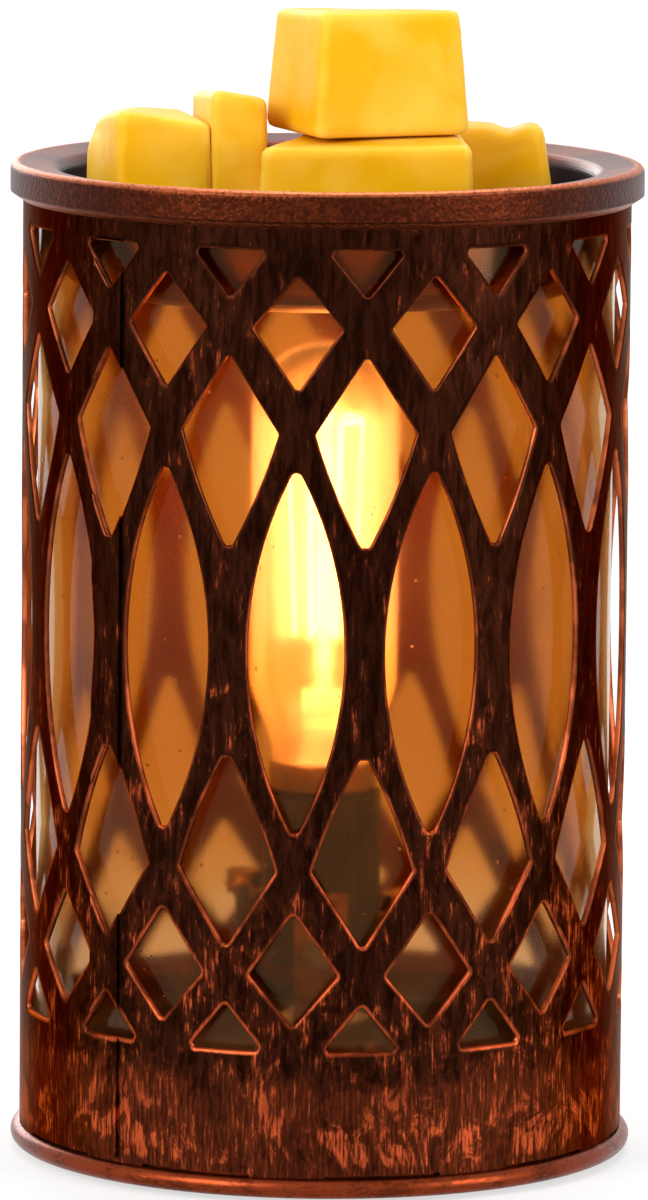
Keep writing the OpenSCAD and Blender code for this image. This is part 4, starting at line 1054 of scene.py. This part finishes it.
class WARMER_OT_wax(bpy.types.Operator):
    """Makes the five pieces of wax, each with a hand-poured surface."""

    bl_idname = "warmer.wax"
    bl_label = "Make the wax"

    # How each piece is pushed out of its plain shape: the middle of the push and its three reaches, in millimetres,
    # then the push. They close the gaps between the pieces and make the humps, hollows and soft corners.
    pushes = {
        "wax_right": [
            ((29.4, 0, 163.4), (2.0, 30, 3.2), (0, 0, -0.85)), ((35.5, 0, 163.8), (4, 12, 3), (0, 0, 0.25)),
            ((23.0, -1, 163.4), (3.6, 9, 3), (0, 0, 0.15)), ((18.5, 0, 152), (3, 20, 30), (-0.9, 0, 0))],
        "wax_left": [
            ((-18.5, -8, 150), (3.5, 30, 40), (1.15, 0, 0)), ((-37, -6, 164.5), (3.2, 14, 3.0), (1.1, 0.2, -0.9)),
            ((-31.4, -22.3, 166), (3, 4, 4), (0.2, 0.3, -0.35)), ((-36, -12, 150), (3, 6, 6), (0.3, 0.2, 0))],
        "wax_front": [
            ((-9.8, -18, 152), (2.5, 20, 30), (-0.35, 0, 0)), ((4, -27.4, 158), (9, 2.5, 4), (0, 0.3, 0)),
            ((-6, -14, 163), (4, 4, 3), (0, 0, -0.3))],
        "wax_tall": [
            ((-16.5, -9, 168), (2.0, 30, 6), (0.2, 0, 0)), ((-13, -19, 170), (3, 2.5, 4), (0, 0.2, -0.2)),
            ((-9, -12, 150), (2, 20, 40), (-0.1, 0, 0))],
        "wax_top": [
            ((8, -21, 172), (7, 3.5, 6), (0, 0.35, 0)), ((-5, -15, 170), (4, 4, 5), (0.2, 0.15, 0)),
            ((12, -16, 179), (6, 3, 3), (0, 0.2, -0.1))],
    }

    # In millimetres: how much further left the pieces sit in the dish than their plain shapes, how far their wavy
    # surface lies inside the plain one on the whole, and the height over which the pushes set in above the foot
    shift_left, inset, foot_rise = 0.9, 0.05, 2.0

    def execute(self, context):
        wax = context.scene.warmer_wax
        finish = wax_finish(wax)
        for number, name in enumerate(sorted(self.pushes)):
            piece = frame_copy(f"{name}_poured", name)
            remesh = piece.modifiers.new("even", "REMESH")
            remesh.mode, remesh.voxel_size, remesh.use_smooth_shade = "VOXEL", wax.cell, True
            bake_modifiers(piece)
            normals = [v.normal.copy() for v in piece.data.vertices]
            foot = min(v.co.z for v in piece.data.vertices) / MM + 0.6
            offset = Vector((31.7 * number, 0, 0))
            for v, normal in zip(piece.data.vertices, normals):
                p = v.co / MM
                rise = noise.noise(p / 7 + offset) + 0.35 * noise.noise(p / 2.4 + offset)
                move = normal * min(0.0, rise * wax.unevenness / MM - self.inset)
                move.x -= self.shift_left
                for middle, reach, push in self.pushes[name]:
                    near = sum(((p[i] - middle[i]) / reach[i]) ** 2 for i in range(3))
                    move += Vector(push) * math.exp(-near)
                # the foot stays on the dish, or on the piece below
                grip = min(1.0, max(0.0, (p.z - foot) / self.foot_rise))
                sideways = 1.0 if name == "wax_top" else grip
                v.co += Vector((move.x * sideways, move.y * sideways, move.z * grip)) * MM
            piece.data.shade_smooth()
            settle(piece, name, "wax", name, finish=finish)
        return {"FINISHED"}


class WARMER_OT_glass(bpy.types.Operator):
    """Makes the glass tube and finishes the gasket that it stands in."""

    bl_idname = "warmer.glass"
    bl_label = "Make the glass tube"

    def execute(self, context):
        middle, round_r = (LINER_RI + LINER_RO) / 2, (LINER_RO - LINER_RI) / 2
        head, foot, profile = LINER_Z1 - round_r, LINER_Z0 + round_r, []
        # over the head and down the inner wall, then under the foot and up the outer one
        for side, near, far in ((1, head, foot), (-1, foot, head)):
            for a in (math.pi * k / 8 for k in range(9)):
                profile.append((middle + side * round_r * math.cos(a), near + side * round_r * math.sin(a)))
            profile += [(middle - side * round_r, near + (far - near) * k / 12) for k in range(1, 12)]

        def wavy(r, z, angle):
            p = Vector((1.6 * math.cos(angle), 1.6 * math.sin(angle), z / 55))
            return r + 0.05 * noise.noise(p + Vector((0, 0, 9.0))), z

        tube = add_object("glass_tube", closed_mesh("glass_tube", *spun(profile, 192, wavy), 60))
        settle(tube, "base", "liner_glass", "glass_liner", finish=tube_glass(context.scene.warmer_light))
        dress(moulded("gasket_felt", (0.060, 0.054, 0.048), (0.026, 0.023, 0.021), 0.85, 0.5, 0.06), "liner_gasket")
        return {"FINISHED"}


class WARMER_OT_lampholder(bpy.types.Operator):
    """Finishes the lampholder, its strap and terminals, and makes its two leads."""

    bl_idname = "warmer.lampholder"
    bl_label = "Finish the lampholder"

    def execute(self, context):
        brass = plain_metal("brass", (0.86, 0.60, 0.24), (0.50, 0.31, 0.10), 0.28)
        dress(brass, "nipple_nuts", "socket_shell", "centre_contact", "terminal_screws")
        dress(plain_metal("strap_copper", (0.80, 0.40, 0.20), (0.42, 0.17, 0.08), 0.30, (1, 1, 0.12)),
              "lampholder_strap")
        dress(plain_metal("tinned_copper", (0.86, 0.52, 0.32), (0.55, 0.28, 0.15), 0.32), "ring_terminals")
        dress(moulded("holder_resin", (0.050, 0.046, 0.043), (0.020, 0.018, 0.017), 0.42, 0.5, 0.02),
              "lampholder_base", "lampholder_body")
        dress(moulded("ceramic", (0.74, 0.70, 0.62), (0.58, 0.53, 0.45), 0.4, 0.6, 0.01), "contact_insulator")
        dress(moulded("splice_nylon", (0.70, 0.66, 0.58), (0.56, 0.52, 0.45), 0.42, 0.6, 0.01), "splice_caps")
        tree = wire_tree()
        for name, side, slot, pale, dark in (
                ("neutral_lead", -1, "lead_dark", (0.030, 0.032, 0.040), (0.012, 0.013, 0.017)),
                ("live_lead", 1, "lead_brown", (0.170, 0.060, 0.032), (0.090, 0.030, 0.016))):
            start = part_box(name)[1].z / MM - LEAD_R
            # from the terminal down beside the lampholder, in over the pan, and down through the nipple
            points = [(-12.4, -4.8, start), (-12.4, -6.6, start), (-12.4, -8.4, start), (-12.5, -10.2, start - 1.6),
                      (-12.3, -10.4, start - 5), (-11.3, -9.6, 33), (-9.4, -8.6, 29), (-7, -7, NIPPLE_TOP + 4),
                      (-4.8, -4.8, NIPPLE_TOP + 3.2), (-3.2, -3, NIPPLE_TOP + 2.2), (-1.7, -1.2, NIPPLE_TOP),
                      (-1.6, -0.7, NIPPLE_TOP - 3), (-1.6, -0.3, UNDER_PAN), (-1.6, 0, NIPPLE_FOOT + 1),
                      (-1.8, 0.8, NIPPLE_FOOT - 1.5)]
            # the other lead is turned half round; under the pan both run back, side by side
            points = [(-side * x, -side * y, z) for x, y, z in points]
            points += [(side * 2.8, 3.4, (SPLICE_Z + NIPPLE_FOOT - 3) / 2), (side * 4.2, 6.6, SPLICE_Z + 0.3),
                       (side * 5, 10, SPLICE_Z), (side * 5, 13, SPLICE_Z), (side * 5, 17, SPLICE_Z)]
            finish = moulded(f"{slot}_sleeve", pale, dark, 0.42, 0.5, 0.01)
            lead = wire(f"{name}_sleeve", eased_path(points, PATH_STEPS), LEAD_R, LEAD_SIDES, finish, tree)
            settle(lead, "base", slot, name)
        return {"FINISHED"}


class WARMER_OT_lamp(bpy.types.Operator):
    """Makes the lamp's cap and filament, and finishes its glass and wires."""

    bl_idname = "warmer.lamp"
    bl_label = "Make the lamp"

    def execute(self, context):
        light = context.scene.warmer_light
        dress(bulb_glass(light), "lamp_glass")
        dress(stem_glass(light), "glass_stem")
        dress(plain_metal("leadin_copper", (0.72, 0.50, 0.28), (0.45, 0.27, 0.13), 0.35), "leadin_wires")
        dress(plain_metal("hook_wire", (0.60, 0.46, 0.30), (0.36, 0.25, 0.14), 0.4), "filament_hooks")
        dress(moulded("cap_glass", (0.016, 0.016, 0.018), (0.006, 0.006, 0.008), 0.2, 0.8, 0.01), "cap_insulator")
        dress(plain_metal("solder", (0.70, 0.70, 0.69), (0.44, 0.44, 0.44), 0.34), "contact_tip")

        def strand(i, top):
            a = math.radians(360 * (i + 0.5) / STRANDS - 90)
            r, z = (CAGE_R1, CAGE_Z1) if top else (CAGE_R0, CAGE_Z0)
            return Vector((r * math.cos(a), r * math.sin(a), z))

        corners = [strand(i, top) for i in range(STRANDS) for top in (i % 2 > 0, i % 2 == 0)]
        path = [corners[0]]
        for a, b, c in zip(corners, corners[1:], corners[2:]):
            p, q = b + unit(a - b) * FILAMENT_BEND, b + unit(c - b) * FILAMENT_BEND
            path += [(1 - t) ** 2 * p + 2 * t * (1 - t) * b + t * t * q for t in (0, 0.2, 0.4, 0.6, 0.8, 1)]
        path.append(corners[-1])
        filament = wire("filament_wire", path, FILAMENT_R, FILAMENT_SIDES, glowing_wire(light), wire_tree())
        settle(filament, "lamp", "filament", "filament")

        # only the points of the thread are exactly at its radius
        steps, thread_foot, thread_top = 92, CAP_Z0 + 0.6, SKIRT_Z0 - 0.5
        profile = [(5.6, CAP_Z0), (6.1, CAP_Z0 + 0.15)]
        profile += [(THREAD_R, thread_foot + (thread_top - thread_foot) * k / steps) for k in range(steps + 1)]
        profile += [(THREAD_R - 0.1, SKIRT_Z0 - 0.25), (THREAD_R + 0.2, SKIRT_Z0), (SKIRT_R - 0.5, SKIRT_Z0 + 0.05),
                    (SKIRT_R - 0.12, SKIRT_Z0 + 0.2), (SKIRT_R, SKIRT_Z0 + 0.6), (SKIRT_R, SKIRT_Z1 - 0.5),
                    (SKIRT_R - 0.05, SKIRT_Z1 - 0.12), (SKIRT_R - 0.15, SKIRT_Z1),
                    (SKIRT_R - CAP_WALL, SKIRT_Z1 - 0.1), (SKIRT_R - CAP_WALL, SKIRT_Z0 + 0.6),
                    (5.9, SKIRT_Z0 + 0.45), (5.6, SKIRT_Z0), (5.35, CAP_Z0 + 1.2)]

        crest, depth, ends = 0.08, 0.75, 0.35

        def thread(r, z, angle):
            """The rolled thread, which fades out at its two ends."""
            if r != THREAD_R:
                return r, z
            fade = min(1.0, (z - CAP_Z0) / 2.0, (thread_top - z) / 1.2 + 0.05)
            wave = 0.5 - 0.5 * math.cos(2 * math.pi * z / THREAD_PITCH - angle)
            return r - crest - depth * wave * max(0.0, fade) - ends * (1 - fade), z

        cap = add_object("lamp_cap_thread", closed_mesh("lamp_cap_thread", *spun(profile, 72, thread), 40))
        settle(cap, "lamp", "brass", "lamp_cap", finish=plain_metal(
            "cap_brass", (0.80, 0.56, 0.24), (0.46, 0.29, 0.11), 0.30, (1, 1, 5)))

        glow = bpy.data.lights.new("lamp_light", "POINT")
        glow.color, glow.energy, glow.shadow_soft_size = light.glow, light.power, 0.006
        lamp = add_object("lamp_light", glow)
        lamp.location = (0, 0, 0.1)
        lamp.visible_camera = lamp.visible_glossy = lamp.visible_transmission = False
        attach(lamp, "lamp")
        return {"FINISHED"}


def area_light(name, place, size, power, colour):
    """A rectangular light that faces the object's middle."""
    data = bpy.data.lights.new(name, "AREA")
    data.shape, data.size, data.size_y = "RECTANGLE", *size
    data.energy, data.color = power, colour
    obj = add_object(name, data)
    obj.location = place
    obj.rotation_euler = (Vector(LIT_POINT) - Vector(place)).to_track_quat("-Z", "Y").to_euler()


class WARMER_OT_stage(bpy.types.Operator):
    """Makes the floor, the studio lights and the camera."""

    bl_idname = "warmer.stage"
    bl_label = "Set the stage"

    def execute(self, context):
        stage = context.scene.warmer_stage
        f = Finish("pale_floor")
        matt = f.add("ShaderNodeBsdfDiffuse", {"Color": (*stage.floor, 1.0)}).outputs[0]
        white = f.add("ShaderNodeEmission", {"Color": WHITE, "Strength": 1.08}).outputs[0]
        # whiter away from the object, so that its shadow stays on the floor round it
        whiteness = f.calc("MULTIPLY", f.looked_at(), f.step(f.radius, 0.08, 0.60, 0.60, 0.96))
        finish = f.done(f.blend(whiteness, matt, white))
        corners = [(x, y, 0) for x, y in ((-1, -1), (1, -1), (1, 1), (-1, 1))]
        floor = plain_mesh("floor", [Vector(c) * FLOOR_HALF / MM for c in corners], [], [(0, 1, 2, 3)])
        floor.materials.append(finish)
        add_object("floor", floor)

        f = Finish("studio", "World")
        even, shown = (f.add("ShaderNodeBackground", {"Color": WHITE, "Strength": strength}).outputs[0]
                       for strength in (stage.sky, 1.0))
        context.scene.world = f.done(f.blend(f.looked_at(), even, shown))

        for name, place, size, strength, colour in (
                ("soft_box_left", (-0.95, -1.0, 0.75), (0.7, 0.9), 1.0, (1.0, 0.98, 0.95)),
                ("soft_box_right", (1.2, -0.75, 0.45), (0.5, 0.8), 0.55, (1.0, 0.95, 0.90)),
                ("soft_box_top", (0.1, 0.5, 1.3), (0.8, 0.8), 0.6, (1, 1, 1)),
                ("soft_box_back", (-0.5, 1.4, 0.6), (0.8, 0.8), 0.4, (1, 1, 1))):
            area_light(name, place, size, stage.soft_box * strength, colour)

        data = bpy.data.cameras.new("camera")
        data.lens, data.sensor_width, data.sensor_fit = stage.lens, 36.0, "AUTO"
        data.clip_start, data.clip_end = 0.05, 60.0
        camera = add_object("camera", data)
        camera.matrix_world = (Matrix.Translation((0, -stage.distance, CAMERA_HEIGHT))
                               @ Matrix.Rotation(math.pi / 2 - CAMERA_TILT, 4, "X")
                               @ Matrix.Rotation(CAMERA_ROLL, 4, "Z"))
        context.scene.camera = camera
        context.scene.view_settings.view_transform = "Standard"
        return {"FINISHED"}


STEPS = (WARMER_OT_stage, WARMER_OT_lattice, WARMER_OT_pan, WARMER_OT_dish, WARMER_OT_wax, WARMER_OT_glass,
         WARMER_OT_lampholder, WARMER_OT_lamp)
GROUPS = {"warmer_metal": WarmerMetal, "warmer_wax": WarmerWax, "warmer_light": WarmerLight,
          "warmer_stage": WarmerStage}


class WARMER_PT_panel(bpy.types.Panel):
    """Lists what makes the warmer."""

    bl_label = "Wax warmer"
    bl_space_type = "VIEW_3D"
    bl_region_type = "UI"
    bl_category = "Warmer"

    def draw(self, context):
        for name, group in GROUPS.items():
            box = self.layout.box()
            for prop in group.__annotations__:
                box.prop(getattr(context.scene, name), prop)
        for step in STEPS:
            self.layout.operator(step.bl_idname)


def register():
    for cls in (*GROUPS.values(), *STEPS, WARMER_PT_panel):
        bpy.utils.register_class(cls)
    for name, group in GROUPS.items():
        setattr(bpy.types.Scene, name, bpy.props.PointerProperty(type=group))


def unregister():
    for name in GROUPS:
        delattr(bpy.types.Scene, name)
    for cls in reversed((*GROUPS.values(), *STEPS, WARMER_PT_panel)):
        bpy.utils.unregister_class(cls)


def main():
    register()
    for step in STEPS:
        group, name = step.bl_idname.split(".")
        getattr(getattr(bpy.ops, group), name)()
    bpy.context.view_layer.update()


if __name__ == "__main__":
    main()
